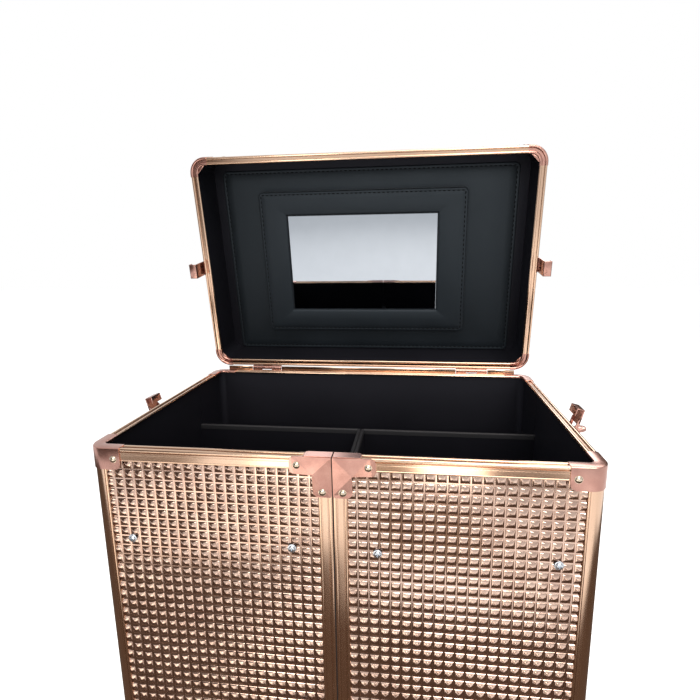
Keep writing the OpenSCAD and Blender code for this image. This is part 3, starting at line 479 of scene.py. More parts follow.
def plated_copper():
    """Pressed steel, copper plated and lacquered: pinker than the rails, satin, faintly stained."""
    material, tree, shader, where = finish("copper_plated_pressed_steel", Metallic=1.0)
    stains = add(tree, "ShaderNodeTexNoise", {"Vector": where, "Scale": 90.0, "Detail": 4.0}).outputs["Fac"]
    # Hairlines of 0.4 mm from handling.
    hair = add(tree, "ShaderNodeTexNoise", {"Vector": where, "Scale": 1800.0, "Detail": 2.0}).outputs["Fac"]
    wide = add(tree, "ShaderNodeMapRange", {"Value": stains, "From Min": 0.35, "From Max": 0.65}).outputs[0]
    tint(tree, shader, wide, "#a87e73", "#b88f83")
    spread(tree, shader, stains, 0.16, 0.26)
    bump(tree, shader, hair, 0.006, 0.4)
    return material


def metallised_film():
    """Metallised polymer film pressed over board: glossy champagne, slightly wavy on each facet."""
    material, tree, shader, where = finish("metallised_embossed_film", Metallic=1.0)
    # The pressing varies from one cell to the next.
    cells = add(tree, "ShaderNodeTexVoronoi", {"Vector": where, "Scale": 1000 / PITCH}, feature="F1")
    grey = add(tree, "ShaderNodeSeparateColor", {"Color": cells.outputs["Color"]}).outputs[0]
    waves = add(tree, "ShaderNodeTexNoise", {"Vector": where, "Scale": 260.0, "Detail": 2.0}).outputs["Fac"]
    tint(tree, shader, grey, "#b09587", "#c4aa9b")
    spread(tree, shader, waves, 0.08, 0.16)
    bump(tree, shader, waves, 0.03, 0.5)
    return material


def leatherette():
    """Black PVC leatherette with a fine pebble grain: a cool grey sheen at a shallow angle."""
    material, tree, shader, where = finish("pvc_leatherette_black", IOR=1.5, Sheen_Weight=0.05,
                                           Sheen_Roughness=0.4, Specular_IOR_Level=0.45,
                                           Specular_Tint=linear("#d6e6f4"))
    # Pebbles of about 0.9 mm.
    grain = add(tree, "ShaderNodeTexVoronoi", {"Vector": where, "Scale": 1100.0}, feature="DISTANCE_TO_EDGE")
    cloud = add(tree, "ShaderNodeTexNoise", {"Vector": where, "Scale": 30.0, "Detail": 4.0}).outputs["Fac"]
    tint(tree, shader, cloud, "#070b0f", "#0f1419")
    spread(tree, shader, cloud, 0.45, 0.6)
    bump(tree, shader, grain.outputs["Distance"], 0.08, 0.5)
    return material


def lining_paper():
    """Black plastic-coated lining paper glued on board: nearly black, a little blue, satin."""
    material, tree, shader, where = finish("coated_lining_paper_black", IOR=1.5, Specular_IOR_Level=0.38,
                                           Specular_Tint=linear("#d8dcf0"))
    fibres = add(tree, "ShaderNodeTexNoise", {"Vector": where, "Scale": 900.0, "Detail": 3.0}).outputs["Fac"]
    cloud = add(tree, "ShaderNodeTexNoise", {"Vector": where, "Scale": 12.0, "Detail": 3.0}).outputs["Fac"]
    tint(tree, shader, cloud, "#08080c", "#100f14")
    spread(tree, shader, cloud, 0.45, 0.6)
    bump(tree, shader, fibres, 0.03, 0.4)
    return material


def plain_finish(name, low, high, rough, grain, depth=0.02, **constants):
    """Finish with a grain of a given size in millimetres; its colour, roughness and relief vary."""
    material, tree, shader, where = finish(name, **constants)
    fine = {"Vector": where, "Scale": 1000 / grain, "Detail": 3.0}
    grains = add(tree, "ShaderNodeTexNoise", fine).outputs["Fac"]
    cloud = add(tree, "ShaderNodeTexNoise", {"Vector": where, "Scale": 60.0, "Detail": 2.0}).outputs["Fac"]
    tint(tree, shader, cloud, low, high)
    spread(tree, shader, cloud, 0.85 * rough, 1.15 * rough)
    if depth:
        bump(tree, shader, grains, depth, 0.5)
    return material


ROSE_X, ROSE_Y, ROSE_Z = (brushed_anodised_aluminium("anodised_aluminium_brushed_" + axis.lower(), axis)
                          for axis in "XYZ")
ROSE = [ROSE_X, ROSE_Y, ROSE_Z]
COPPER = plated_copper()
FILM = metallised_film()
LEATHERETTE = leatherette()
LINING = lining_paper()
# Polyester sewing thread, black and matt.
THREAD = plain_finish("polyester_thread_black", "#020202", "#040405", 0.9, 0.4, IOR=1.2)
# Zinc-plated steel, bright with a cool cast.
ZINC = plain_finish("zinc_plated_steel", "#aeb6c0", "#cdd3da", 0.26, 0.6, Metallic=1.0)
# Nickel-plated rivets, polished: champagne silver.
NICKEL = plain_finish("nickel_plated_rivet", "#b9ac98", "#d3c8b6", 0.18, 0.8, 0.005, Metallic=1.0)
# Drawn aluminium tube, satin.
TUBE = plain_finish("drawn_aluminium_satin", "#c3c6ca", "#d9dbde", 0.3, 0.5, Metallic=1.0)
# Glass silvered on its back, with a faint film of dust. Its silver is set far dimmer and bluer than a real
# mirror's: painted shade and a painted cool cast, so that the white studio it reflects looks like a dim room.
MIRROR = plain_finish("silvered_mirror_glass", "#a0a6ad", "#a6acb3", 0.02, 8.0, 0.0, Metallic=1.0)
# Moulded ABS with a spark-eroded texture of about 0.6 mm.
ABS = plain_finish("abs_moulded_black", "#17171a", "#1f1f23", 0.46, 0.6, 0.05, IOR=1.5)
# Woven cloth tape folded over the edges of boards, black.
TAPE = plain_finish("cloth_edge_tape_black", "#0f0f13", "#16161b", 0.65, 0.7, 0.06, IOR=1.5)
# Melamine-faced board of the base, black with a fine orange-peel texture of about 1 mm.
LAMINATE = plain_finish("melamine_laminate_black", "#151518", "#1b1b1f", 0.42, 1.0, 0.03, IOR=1.5)
# Thermoplastic rubber of tyres and feet, matt with a light bloom.
RUBBER = plain_finish("thermoplastic_rubber_black", "#141416", "#1d1d20", 0.7, 1.2, 0.05, IOR=1.5)


# Pieces

def in_scene(name, data):
    made = bpy.data.objects.new(name, data)
    bpy.context.scene.collection.objects.link(made)
    return made


def piece(name, groups, body, finishes, stands_for=None, turn=SAME, sharp=32):
    """Joins shapes into one mesh in metres and lets it ride a body. One group of shapes for each finish."""
    finishes = finishes if isinstance(finishes, list) else [finishes]
    groups = groups if isinstance(groups[0], list) else [groups]
    whole = bmesh.new()
    mesh = bpy.data.meshes.new(name)
    for number, group in enumerate(groups):
        for shape in group:
            for f in shape.faces:
                f.material_index = number
            shape.to_mesh(mesh)
            shape.free()
            whole.from_mesh(mesh)
            mesh.clear_geometry()
    whole.transform(turn)
    # A mirrored shape is inside out, and its old normals would mislead the next step.
    whole.normal_update()
    bmesh.ops.recalc_face_normals(whole, faces=whole.faces)
    whole.transform(Matrix.Scale(0.001, 4))
    whole.to_mesh(mesh)
    whole.free()
    mesh.shade_smooth()
    mesh.set_sharp_from_angle(angle=math.radians(sharp))
    for one in finishes:
        mesh.materials.append(one)
    made = in_scene(name, mesh)
    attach(made, body)
    if stands_for:
        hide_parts(stands_for)
    return made


# Front halves, drawn on the left

def half_panels():
    low, high = HALF_Z + RAIL_H, RIM - RAIL_H
    across, deep = HALF_X - RAIL_H - POST_R, HALF_D - RAIL_H - POST_R
    middle = (low + high) / 2
    return [sheet(across, high - low, (-HALF_W + POST_R + across / 2, FRONT + SHEET_IN, middle), -Y),
            sheet(deep, high - low, (-HALF_W + SHEET_IN, FRONT + POST_R + deep / 2, middle), -X)]


def half_rails():
    """Rails along X, along Y and upright."""
    height = RIM - 4 - HALF_Z
    return [[rail(RIM_RAIL, (-HALF_W + RIM_START, FRONT, RIM), Y, X, HALF_X - RIM_START),
             rail(FOOT_RAIL, (-HALF_W + POST_R, FRONT, HALF_Z), Y, X, HALF_X - POST_R)],
            [rail(RIM_RAIL, (-HALF_W, FRONT + RIM_START, RIM), X, Y, HALF_D - RIM_START),
             rail(FOOT_RAIL, (-HALF_W, FRONT + POST_R, HALF_Z), X, Y, HALF_D - POST_R)],
            [rail(STILE, (-GAP - RAIL_H, FRONT, HALF_Z + 1), X, Z, height, Y),
             rail(STILE, (-HALF_W, FRONT + HALF_D - RAIL_H, HALF_Z + 1), Y, Z, height, X)]]


def half_post():
    return [placed(s, at((-HALF_W, FRONT, 0))) for s in corner_post(POST_R, HALF_Z, RIM - 3)]


def half_corners():
    corner = at((-HALF_W, FRONT, 0))
    return [placed(bent_plate(POST_R, CAP_REACH, RIM - CAP_H, RIM + CAP_RISE, fold=9.0), corner),
            placed(bent_plate(POST_R, CAP_REACH, HALF_Z, HALF_Z + CAP_H), corner)]


def seam_bracket(top, down):
    """Pressed L bracket beside the seam, creased from its corner to its inner corner."""
    shape = bmesh.new()
    reach, arm, leg, crease = 33.0, 14.5, 15.0, 1.2
    outline = [(0, 0), (-reach, 0), (-reach, -arm), (-leg, -arm), (-leg, -reach), (0, -reach)]
    points = [shape.verts.new((x, 0, z)) for x, z in outline]
    shape.faces.new(points[:4])
    shape.faces.new([points[0]] + points[3:])
    round_corners(shape, [points[1], points[2]], 4.5)
    round_corners(shape, [points[4]], 5)
    round_corners(shape, [points[5]], 2, 4)
    for point in (points[0], points[3]):
        point.co.y = -crease
    thicken(shape, Y * PLATE)
    return placed(shape, at((-GAP, FRONT - PLATE, top), X, Y, Z * down))


def half_seam_plates():
    """Brackets above and below, and the upper one's flap over the rim."""
    flap = slab(rectangle(0, 0, -22, 9.3), 0.5, [(3.5, (2,)), (1.0, (1,))], 0.2)
    return [seam_bracket(RIM, 1), seam_bracket(HALF_Z, -1),
            placed(flap, at((-GAP, FRONT - PLATE, RIM + 0.5), X, -Z, Y))]


def half_rivets():
    made = []
    for edge, down in ((RIM, -1), (HALF_Z, 1)):
        made += corner_rivets(FRONT, -Y, edge + down * RIVET_EDGE)
        for x, drop in ((-GAP - 27, 7.25), (-GAP - 7.5, 28.5)):
            made.append(rivet((x, FRONT - PLATE - 0.1, edge + down * drop), -Y))
    return made


def half_screws():
    """Two pan-head screws in the front panel, each on its washer."""
    made = []
    for x in (-34, -169):
        washer = rod((0, 0, 0), (0, 0, 0.6), 3.6, 20, 0.2)
        made += [placed(screw(), facing((x, FRONT + 0.5, TOOL_Z), -Y)),
                 placed(washer, facing((x, FRONT + 1.0, TOOL_Z), -Y))]
    return made


for side, turn in SIDES:
    half = side + "_half"
    piece(side + "_pressed_panels", half_panels(), half, FILM, side + "_panels", turn, 38)
    piece(side + "_rails", half_rails(), half, ROSE, side + "_door_frame", turn, 30)
    piece(side + "_post", half_post(), half, ROSE_Z, side + "_corner_post", turn)
    piece(side + "_corner_plates", half_corners(), half, COPPER, side + "_brackets", turn, 24)
    piece(side + "_seam_plates", half_seam_plates(), half, COPPER, None, turn, 3)
    piece(side + "_dome_rivets", half_rivets(), half, NICKEL, side + "_rivets", turn, 40)
    piece(side + "_pan_screws", half_screws(), half, ZINC, side + "_panel_screws", turn, 40)


# Rear case

def rear_rails():
    """Rails along X, along Y and upright, with the rear posts."""
    def along_side():
        return [rail(RIM_RAIL, (-HALF_W, REAR, RIM), X, Y, BACK - RIM_START - REAR),
                rail(FOOT_RAIL, (-HALF_W, REAR, BASE_TOP), X, Y, BACK - POST_R - REAR)]

    def upright():
        place = at((-HALF_W, BACK, 0), X, -Y)
        return [rail(STILE, (-HALF_W, REAR, BASE_TOP + 1), Y, Z, RIM - 4 - BASE_TOP, X),
                *(placed(s, place) for s in corner_post(POST_R, BASE_TOP, RIM - 3))]

    along_back = [rail(RIM_RAIL, (-HALF_W + RIM_START, BACK, RIM), -Y, X, 2 * (HALF_W - RIM_START)),
                  rail(FOOT_RAIL, (-HALF_W + POST_R, BACK, BASE_TOP), -Y, X, 2 * (HALF_W - POST_R))]
    return [along_back, on_both_sides(along_side), on_both_sides(upright)]


def rear_sheets():
    low, high = BASE_TOP + RAIL_H, RIM - RAIL_H
    deep = BACK - POST_R - REAR - RAIL_H
    middle = (low + high) / 2
    made = [sheet(2 * (HALF_W - POST_R), high - low, (0, BACK - SHEET_IN, middle), Y)]
    for k in (-1, 1):
        spot = (k * (HALF_W - SHEET_IN), REAR + RAIL_H + deep / 2, middle)
        made.append(sheet(deep, high - low, spot, X * k))
    return made


def rear_caps():
    """Plates round the rear corners of the rim and base, and round the base's front corners."""
    back, front = at((-HALF_W, BACK, 0), X, -Y), at((-HALF_W, FRONT, 0))
    return [placed(bent_plate(POST_R, CAP_REACH, RIM - CAP_H, RIM + CAP_RISE, fold=9.0), back),
            placed(bent_plate(POST_R, 16, BASE_TOP - CAP_H, BASE_TOP + CAP_H, corner=2.5), back),
            placed(bent_plate(POST_R, CAP_REACH, BASE_Z, BASE_TOP - PLATE), front)]


def rear_rivets():
    return (corner_rivets(BACK, Y, RIM - RIVET_EDGE)
            + corner_rivets(FRONT, -Y, (BASE_Z + BASE_TOP) / 2))


piece("rear_rails", rear_rails(), "rear_case", ROSE, "rear_frame", sharp=30)
piece("rear_pressed_panels", rear_sheets(), "rear_case", FILM, "rear_panels", sharp=38)
piece("rear_caps", [on_both_sides(rear_caps), on_both_sides(rear_rivets)], "rear_case", [COPPER, NICKEL],
      "rear_corner_caps", sharp=24)


# Lid, drawn closed

def lid_corners():
    """Places of the lid's four corners."""
    return [at((-HALF_W * x.x, y, 0), x, inward) for y, inward in ((FRONT, Y), (BACK, -Y)) for x in (X, -X)]


def lid_rails():
    """Rails along X, along Y and the upright posts."""
    along_x, along_y = [], []
    for section, start, z, up in ((RIM_RAIL, LID_LEG, LID_Z, -Z), (LID_ANGLE, LID_R, LID_TOP, Z)):
        for y, inward in ((FRONT, Y), (BACK, -Y)):
            along_x.append(rail(section, (-HALF_W + start, y, z), inward, X, 2 * (HALF_W - start), up))
        for k in (-1, 1):
            along_y.append(rail(section, (k * HALF_W, FRONT + start, z), -X * k, Y, CASE_D - 2 * start, up))
    posts = [placed(s, place) for place in lid_corners() for s in corner_post(LID_R, LID_Z + 3, LID_TOP - 1)]
    return [along_x, along_y, posts]


def rim_elbow():
    """Beaded rim carried round the lid's corner, its corner at the origin and its rim plane at z = 0."""
    shape = bmesh.new()
    section = [(-0.5, -10), (-0.5, 0.3), (2.6, 0.3), (3.0, -0.9), (5.4, -0.9), (5.8, 0.3), (8.9, 0.3),
               (8.9, -3), (1.6, -3), (1.6, -10)]
    points = [shape.verts.new((LID_LEG, y, z)) for y, z in section]
    shape.faces.new(points)
    round_corners(shape, [points[i] for i in (1, 2, 5, 6)], 1.3, 4)
    thicken(shape, X * (LID_R - LID_LEG))
    face = [f for f in shape.faces if len(f.verts) > 8 and abs(f.calc_center_median().x - LID_R) < 1e-3]
    bend = bmesh.ops.spin(shape, geom=face, cent=(LID_R, LID_R, 0), axis=Z, angle=-math.pi / 2, steps=12)
    face = [g for g in bend["geom_last"] if isinstance(g, bmesh.types.BMFace)]
    end = bmesh.ops.extrude_face_region(shape, geom=face)
    bmesh.ops.translate(shape, verts=verts_of(end["geom"]), vec=(0, LID_LEG - LID_R, 0))
    bmesh.ops.remove_doubles(shape, verts=shape.verts, dist=0.001)
    return shape


def lid_caps():
    """At each corner: the rim's elbow and its gusset, a strip below, and the plate over the top."""
    made = []
    for place in lid_corners():
        rim = place @ at((0, 0, LID_Z), X, Y, -Z)
        gusset = slab([(8.4, 8.4), (18, 8.4), (8.4, 18)], 1.6, (), 0.3)
        made += [placed(rim_elbow(), rim),
                 placed(gusset, rim @ at((0, 0, -0.9), X, -Z, Y)),
                 placed(bent_plate(LID_R, 25, LID_Z + 9, LID_Z + 13, corner=1.5), place),
                 placed(bent_plate(LID_R, 26, LID_TOP - CAP_H, LID_TOP + PLATE, fold=13.0), place)]
    return made


def lid_rivets():
    across, z = 21.5, LID_TOP - 8
    spots = (((across, -PLATE, z), -Y), ((-PLATE, across, z), -X))
    return [placed(rivet(spot, out), place) for place in lid_corners() for spot, out in spots]


def lid_sheets():
    low, high = LID_Z + RAIL_H, LID_TOP - RAIL_H
    middle = (low + high) / 2
    made = [sheet(2 * (HALF_W - RAIL_H), CASE_D - 2 * RAIL_H, (0, MID, LID_TOP - SHEET_IN), Z)]
    for y, out in ((FRONT + SHEET_IN, -Y), (BACK - SHEET_IN, Y)):
        made.append(sheet(2 * (HALF_W - LID_R), high - low, (0, y, middle), out))
    for k in (-1, 1):
        made.append(sheet(CASE_D - 2 * LID_R, high - low, (k * (HALF_W - SHEET_IN), MID, middle), X * k))
    return made


piece("lid_rails", lid_rails(), "lid", ROSE, "lid_frame", LID_OPEN, 30)
piece("lid_pressed_panels", lid_sheets(), "lid", FILM, "lid_panels", LID_OPEN, 38)
piece("lid_corner_plates", [lid_caps(), lid_rivets()], "lid", [COPPER, NICKEL], "lid_corners", LID_OPEN, 30)


# Pads and mirror in the lid, drawn closed

def seam_rings(w, d, r, rise):
    """Rings of a padded edge: a tight shoulder, the shallow channel of the seam, and the pad inside it."""
    steps = ((0, 0, 0), (0, 0, 0.85 * rise), (0.5, 0, 0.96 * rise), (1.6, 0.6, rise), (5.8, 1.5, rise),
             (6.4, 1.7, rise - 0.12), (7.4, 2, rise - 0.12), (8.0, 2.2, rise))
    return [(w - inward, d - inward, r - tighter, z) for inward, tighter, z in steps]


def lining_pad():
    """Sewn pad on the lid's floor, facing down when the lid is closed."""
    w, d, rise, y = 366.0, 236.0, 2.6, MID + 5
    rings = seam_rings(w, d, 6, rise) + [(340, 212, 5, 2.9), (300, 176, 6, 3.1), (220, 110, 8, 3.2)]
    pad = placed(loft(rings, 5), at((0, y, LID_FLOOR), X, Y, -Z))
    return [pad], stitches(loop_points(w - SEAM_IN, d - SEAM_IN, 0, y, LID_FLOOR - rise))


def surround_pad():
    """Padded frame with a sewn edge, open in the middle for the mirror."""
    w, d, rise = 258.0, 180.0, 13.0
    rings = seam_rings(w, d, 5, rise) + [(w - 20, d - 18, 2.6, 13.3), (w - 36, d - 30, 2.2, 13.4)]
    for clear, radius, z in ((5, 1.8, 13.2), (2, 1.4, 12.7), (0.4, 1.0, 11.6), (0, 0.8, 10.0)):
        rings.append((MIRROR_W + clear, MIRROR_H + clear, radius, z))
    pad = placed(loft(rings, 5, False), at((MIRROR_X, MIRROR_Y, LID_FLOOR - 3), X, Y, -Z))
    close_holes(pad, pad.edges)
    seam = loop_points(w - SEAM_IN, d - SEAM_IN, MIRROR_X, MIRROR_Y, LID_FLOOR - 3 - rise)
    return [pad], stitches(seam)


def mirror_glass():
    half_w, half_h = MIRROR_W / 2 - 0.1, MIRROR_H / 2 - 0.1
    glass = slab(rectangle(-half_w, -half_h, half_w, half_h), 2.6, [(1.0, (0, 1, 2, 3))], 0.9)
    return placed(glass, at((MIRROR_X, MIRROR_Y, LID_FLOOR - 14.3), X, Z, Y))


for name, made, stands_for in (("lid_lining_pad", lining_pad(), "lid_lining"),
                               ("mirror_surround_pad", surround_pad(), "mirror_surround")):
    cushion = piece(name, list(made), "lid", [LEATHERETTE, THREAD], stands_for, LID_OPEN, 60)
piece("mirror_plate", [mirror_glass()], "lid", MIRROR, "mirror_glass", LID_OPEN, 12)


# Draw latches and keepers, drawn on the right: X out from the case's side, Y along it, Z up

def cross_pin(middle, half, radius, sides, edge=0.0):
    """Pin along Y."""
    return rod(middle - Y * half, middle + Y * half, radius, sides, edge)


def outer_plate(corners, thick, out, rounds, edge):
    """Plate whose outer face stands out from the side, its outline along Y and Z."""
    return placed(slab(corners, thick, rounds, edge), at((out, 0, 0), Y, -X, Z))


def latch_plate():
    """Base of the draw latch: plate, two cheeks, and the main pin with its heads."""
    made = [outer_plate(rectangle(-13, -56, 13, -18), 2.2, 1.4, [(4, (0, 1)), (2, (2, 3))], 0.5),
            cross_pin(MAIN_PIN, 12, 1.5, 16)]
    for s in (-1, 1):
        cheek = slab([(-0.8, -32), (7.5, -28.5), (11, -26), (11, -20), (5, -19), (-0.8, -18)], 1.5,
                     [(3.0, (2, 3)), (2.0, (1, 4))], 0.25)
        made += [placed(cheek, at((0, s * 11.25 - 0.75, 0))),
                 cross_pin(MAIN_PIN + Y * s * 12.1, 0.3, 2.4, 16, 0.25)]
    return made


def latch_screws():
    return [placed(screw(2.2, 1.0), facing((1.4, y, z), X)) for y in (-8.5, 8.5) for z in (-50, -36)]


def latch_lever():
    """Lever with a rounded tongue, in its closed pose about its pivot."""
    raised = [(4.0, (2, 3)), (1.5, (0, 1))]
    return [outer_plate(rectangle(-6.5, 0, 6.5, -20), 2.6, 3.2, [(6.2, (2, 3))], 0.7),
            outer_plate(rectangle(-4.2, -3.5, 4.2, -17), 0.7, 3.7, raised, 0.5),
            cross_pin(Vector(), 6.5, 3.0, 24, 0.5), cross_pin(CLAW_PIN, 6.5, 2.2, 20, 0.4),
            cross_pin(CLAW_PIN, 8.9, 1.2, 16, 0.3)]


def latch_claw():
    """Claw in its closed pose about its own pin: two arms, a plate and a hooked lip."""
    made = []
    for s in (-1, 1):
        arm = slab([(0.4, 0), (3.2, 0), (3.2, 17), (0.4, 12)], 1.4, [(0.5, (2, 3))], 0.2)
        made += [placed(arm, at((0, s * 8.0 - 0.7, 0))), cross_pin(Y * s * 8, 0.7, 2.4, 20, 0.3)]
    lip_x, lip_y = -4.3, 8.7
    made += [outer_plate(rectangle(-lip_y, 8, lip_y, CLAW_H), 1.2, 3.2, [(1.8, (0, 1))], 0.35),
             outer_plate(rectangle(-5.5, 10.5, 5.5, 20.5), 0.5, 3.6, [(2.5, (0, 1, 2, 3))], 0.4),
             bar((lip_x, -lip_y, CLAW_H - 1.2), (3.2, lip_y, CLAW_H), 0.45, 3),
             bar((lip_x, -lip_y, CLAW_H - 7.8), (lip_x + 1.2, lip_y, CLAW_H), 0.45, 3)]
    return made


def keepers():
    """Keeper on the lid: a pressed strip with a hooked lip, in the body's frame with the lid closed."""
    foot, half = -KEEPER_DROP, 8.5
    strips = (((0, 10), (1.2, 26)), ((-0.8, 12.6), (1.2, 26)), ((0, 10), (3.4, 11.2)),
              ((2.2, foot), (3.4, 11.2)), ((2.2, foot), (11, foot + 1.2)), ((9.8, foot), (11, foot + 7)))
    return [placed(bar((x0, -half, z0), (x1, half, z1), 0.4, 3), LATCH) for (x0, z0), (x1, z1) in strips]


LATCH = at((HALF_W, MID, RIM))
PIVOT = LATCH @ Matrix.Translation(MAIN_PIN) @ Matrix.Rotation(math.radians(-100), 4, "Y")
CLAW = PIVOT @ Matrix.Translation(CLAW_PIN) @ Matrix.Rotation(math.radians(116), 4, "Y")
for side, turn in (("right", SAME), ("left", FLIP)):
    piece(side + "_latch_plate", [latch_plate(), latch_screws()], side + "_half", [COPPER, ZINC],
          side + "_latch_base", turn @ LATCH)
    piece(side + "_latch_tongue", latch_lever(), side + "_lever", COPPER, side + "_latch_lever", turn @ PIVOT)
    piece(side + "_latch_hook", latch_claw(), side + "_claw", COPPER, side + "_latch_claw", turn @ CLAW)
piece("lid_keeper_strips", on_both_sides(keepers), "lid", COPPER, "lid_keepers", LID_OPEN)


# Turn button: its bar turns across the seam. Drawn facing +Z, its bar upwards along Y

def button_plate():
    rim, foot = 13.0, -0.8
    return [turned([(0, 3.4), (8.9, 3.4), (9.3, 3.1), (10.3, 3.1), (10.7, 3.4), (12.2, 3.4), (rim, 2.6),
                    (rim, foot), (0, foot)], 48)]


def button_bar():
    """Bar with its round eye under the knob and a small rivet near its tip."""
    arm = slab(rectangle(-4.5, 0, 4.5, 40), 1.6, [(4.4, (2, 3))], 0.35, True)
    return [placed(arm, at((0, 0, 5.4), X, -Z, Y)),
            turned([(0, 5.4), (8.7, 5.4), (9, 5.1), (9, 3.8), (0, 3.8)], 40),
            placed(dome_rivet(1.6, 0.6), at((0, 35.5, 5.4)))]


def button_knob():
    """Knurled knob with a flat grip across it."""
    made = [turned([(0, 10), (8.0, 10), (8.7, 9.4), (8.7, 6.1), (8.0, 5.4), (0, 5.4)], 48),
            bar((-2, -8, 9), (2, 8, 15), 0.9, 3)]
    for i in range(36):
        spot = Matrix.Rotation(math.tau * i / 36, 3, "Z") @ Vector((8.6, 0, 0))
        made.append(rod(spot + Z * 6.0, spot + Z * 9.4, 0.42, 6))
    return made


BUTTON = facing((-LOCK_X, FRONT, LOCK_Z), -Y)
piece("turn_button_plate", button_plate(), "left_half", COPPER, "lock_escutcheon", BUTTON)
piece("turn_button_bar", button_bar(), "lock_turn", ZINC, None, BUTTON)
piece("turn_button_knob", button_knob(), "lock_turn", ROSE_Y, "lock_knob", BUTTON, 40)


# Linings and rails inside the halves, drawn on the left, and the screws of the hinges

def wall_edging():
    """Folded cloth tape over the tops of the inner walls."""
    top, front, back = RIM - 51.5, FRONT + 5.4, SEAM - 1.9
    made = []
    for length, place in ((back - front, at((-1.95, front, top))), (191, at((-3.4, back, top), Y, -X))):
        made.append(placed(slab(rectangle(-1.9, -5, 1.9, 0.7), length, [(1.5, (2, 3))]), place))
    return made


def tool_rail():
    """Strip behind the panel's two screws, with six pegs for tools."""
    left, right, y = -HALF_W + 23, -26, FRONT + 5.4
    strip = slab(rectangle(left, -8, right, 8), 3, [(4, (0, 1, 2, 3))], 0.7, True)
    made = [placed(strip, at((0, y, TOOL_Z)))]
    for i in range(6):
        peg = turned([(0, 15), (1.3, 14.6), (1.8, 13.6), (1.8, 4.6), (3.0, 3.4), (3.0, 3.0), (0, 3.0)], 16)
        made.append(placed(peg, at((left + 14 + i * (right - left - 28) / 5, y, TOOL_Z), X, -Z, Y)))
    return made


def half_hinge_screws(beside):
    """Three screws in each of three leaves, on one side or the other of the joint."""
    return leaf_screws([(-HALF_W - 1.2, SEAM + beside * 14, z + dz)
                        for z in (122.0, 318.5, 515.0) for dz in (-17, 0, 17)], -X)


def lid_hinge_screws(beside):
    """Two screws in each lid hinge, above or below its pin."""
    return leaf_screws([(s * 132.0 + dx, BACK + 1.2, HINGE_Z + beside * 14)
                        for s in (-1, 1) for dx in (-12, 12)], Y)


for side, turn in SIDES:
    half = side + "_half"
    piece(side + "_wall_edging", wall_edging(), half, TAPE, None, turn, 40)
    piece(side + "_peg_strip", tool_rail(), half, ABS, side + "_tool_rail", turn, 40)
    piece(side + "_hinge_screws", half_hinge_screws(-1), half, ZINC, None, turn, 40)
    piece(side + "_rear_leaf_screws", half_hinge_screws(1), "rear_case", ZINC, None, turn, 40)
piece("lid_hinge_screws_lower", lid_hinge_screws(-1), "rear_case", ZINC, None, SAME, 40)
piece("lid_hinge_screws_upper", lid_hinge_screws(1), "lid", ZINC, None, LID_OPEN, 40)


# Strip and gasket

def dust_strip():
    """Strip that closes the line between lid and rim: three lengths beside the hinges, each on a foot."""
    made = []
    for x0, x1 in ((-184, -151.6), (-112.4, 112.4), (151.6, 184)):
        made += [bar((x0, BACK + 0.85, RIM - 1.2), (x1, BACK + 1.4, RIM + 4.9), 0.2),
                 bar((max(x0, -171), BACK - 0.1, RIM - 8), (min(x1, 171), BACK + 0.9, RIM - 0.6), 0.2)]
    return made


def seam_gasket():
    """Thin black strip in the front seam."""
    return [bar((-GAP, FRONT + 0.6, HALF_Z + 2), (0.25, FRONT + 2.4, RIM - 4), 0.1, 1)]


piece("rear_dust_strip", dust_strip(), "rear_case", ROSE_X)
piece("seam_gasket", seam_gasket(), "left_half", TAPE)


# Base, feet and wheels

def skirt():
    """Grooved aluminium skirt round the base, left open behind the wheels."""
    straight, deep = HALF_W - POST_R, CASE_D - 2 * POST_R

    def beside_wheel():
        return [rail(SKIRT_RAIL, (-straight, BACK, BASE_Z), -Y, X, straight - WELL_HIGH),
                bar((-WELL_HIGH, BACK - SKIN, 59), (-WELL_LOW, BACK, BASE_TOP), 0)]

    def corners():
        return [placed(quarter(POST_R, BASE_Z, BASE_TOP), at((-HALF_W, FRONT, 0))),
                placed(quarter(POST_R, BASE_Z, BASE_TOP), at((-HALF_W, BACK, 0), X, -Y))]

    along_x = [rail(SKIRT_RAIL, (-straight, FRONT, BASE_Z), Y, X, 2 * straight),
               rail(SKIRT_RAIL, (-WELL_LOW, BACK, BASE_Z), -Y, X, 2 * WELL_LOW)]
    along_y = [rail(SKIRT_RAIL, (k * HALF_W, FRONT + POST_R, BASE_Z), -X * k, Y, deep) for k in (-1, 1)]
    return [along_x + on_both_sides(beside_wheel), along_y, on_both_sides(corners)]


def foot():
    """Ribbed rubber foot with a recess in its underside for a screw."""
    profile = [(0, 3), (4, 3), (4.4, 0.5), (4.9, 0), (12.8, 0), (13.7, 0.9), (14.1, 4)]
    for z in (5.0, 8.5, 12.0):
        r = 14.2 + z / 9
        profile += [(r, z), (r - 0.9, z + 0.5), (r - 0.9, z + 1.3), (r + 0.1, z + 1.8)]
    profile += [(16, 16.5), (15.4, 18), (13, 18), (13, 26), (0, 26)]
    return turned(profile, 40)


def tyre():
    """Tyre with a rounded tread and three grooves."""
    shoulder = [(21, 12), (24.6, 12), (26.4, 11.6), (27.5, 10.6), (WHEEL_R, 9)]
    profile = [(r, -z) for r, z in shoulder]
    for z in (-5.5, 0.0, 5.5):
        profile += [(WHEEL_R, z - 1.0), (27.1, z - 0.6), (27.1, z + 0.6), (WHEEL_R, z + 1.0)]
    return [turned(profile + shoulder[::-1] + profile[:1], 64)]


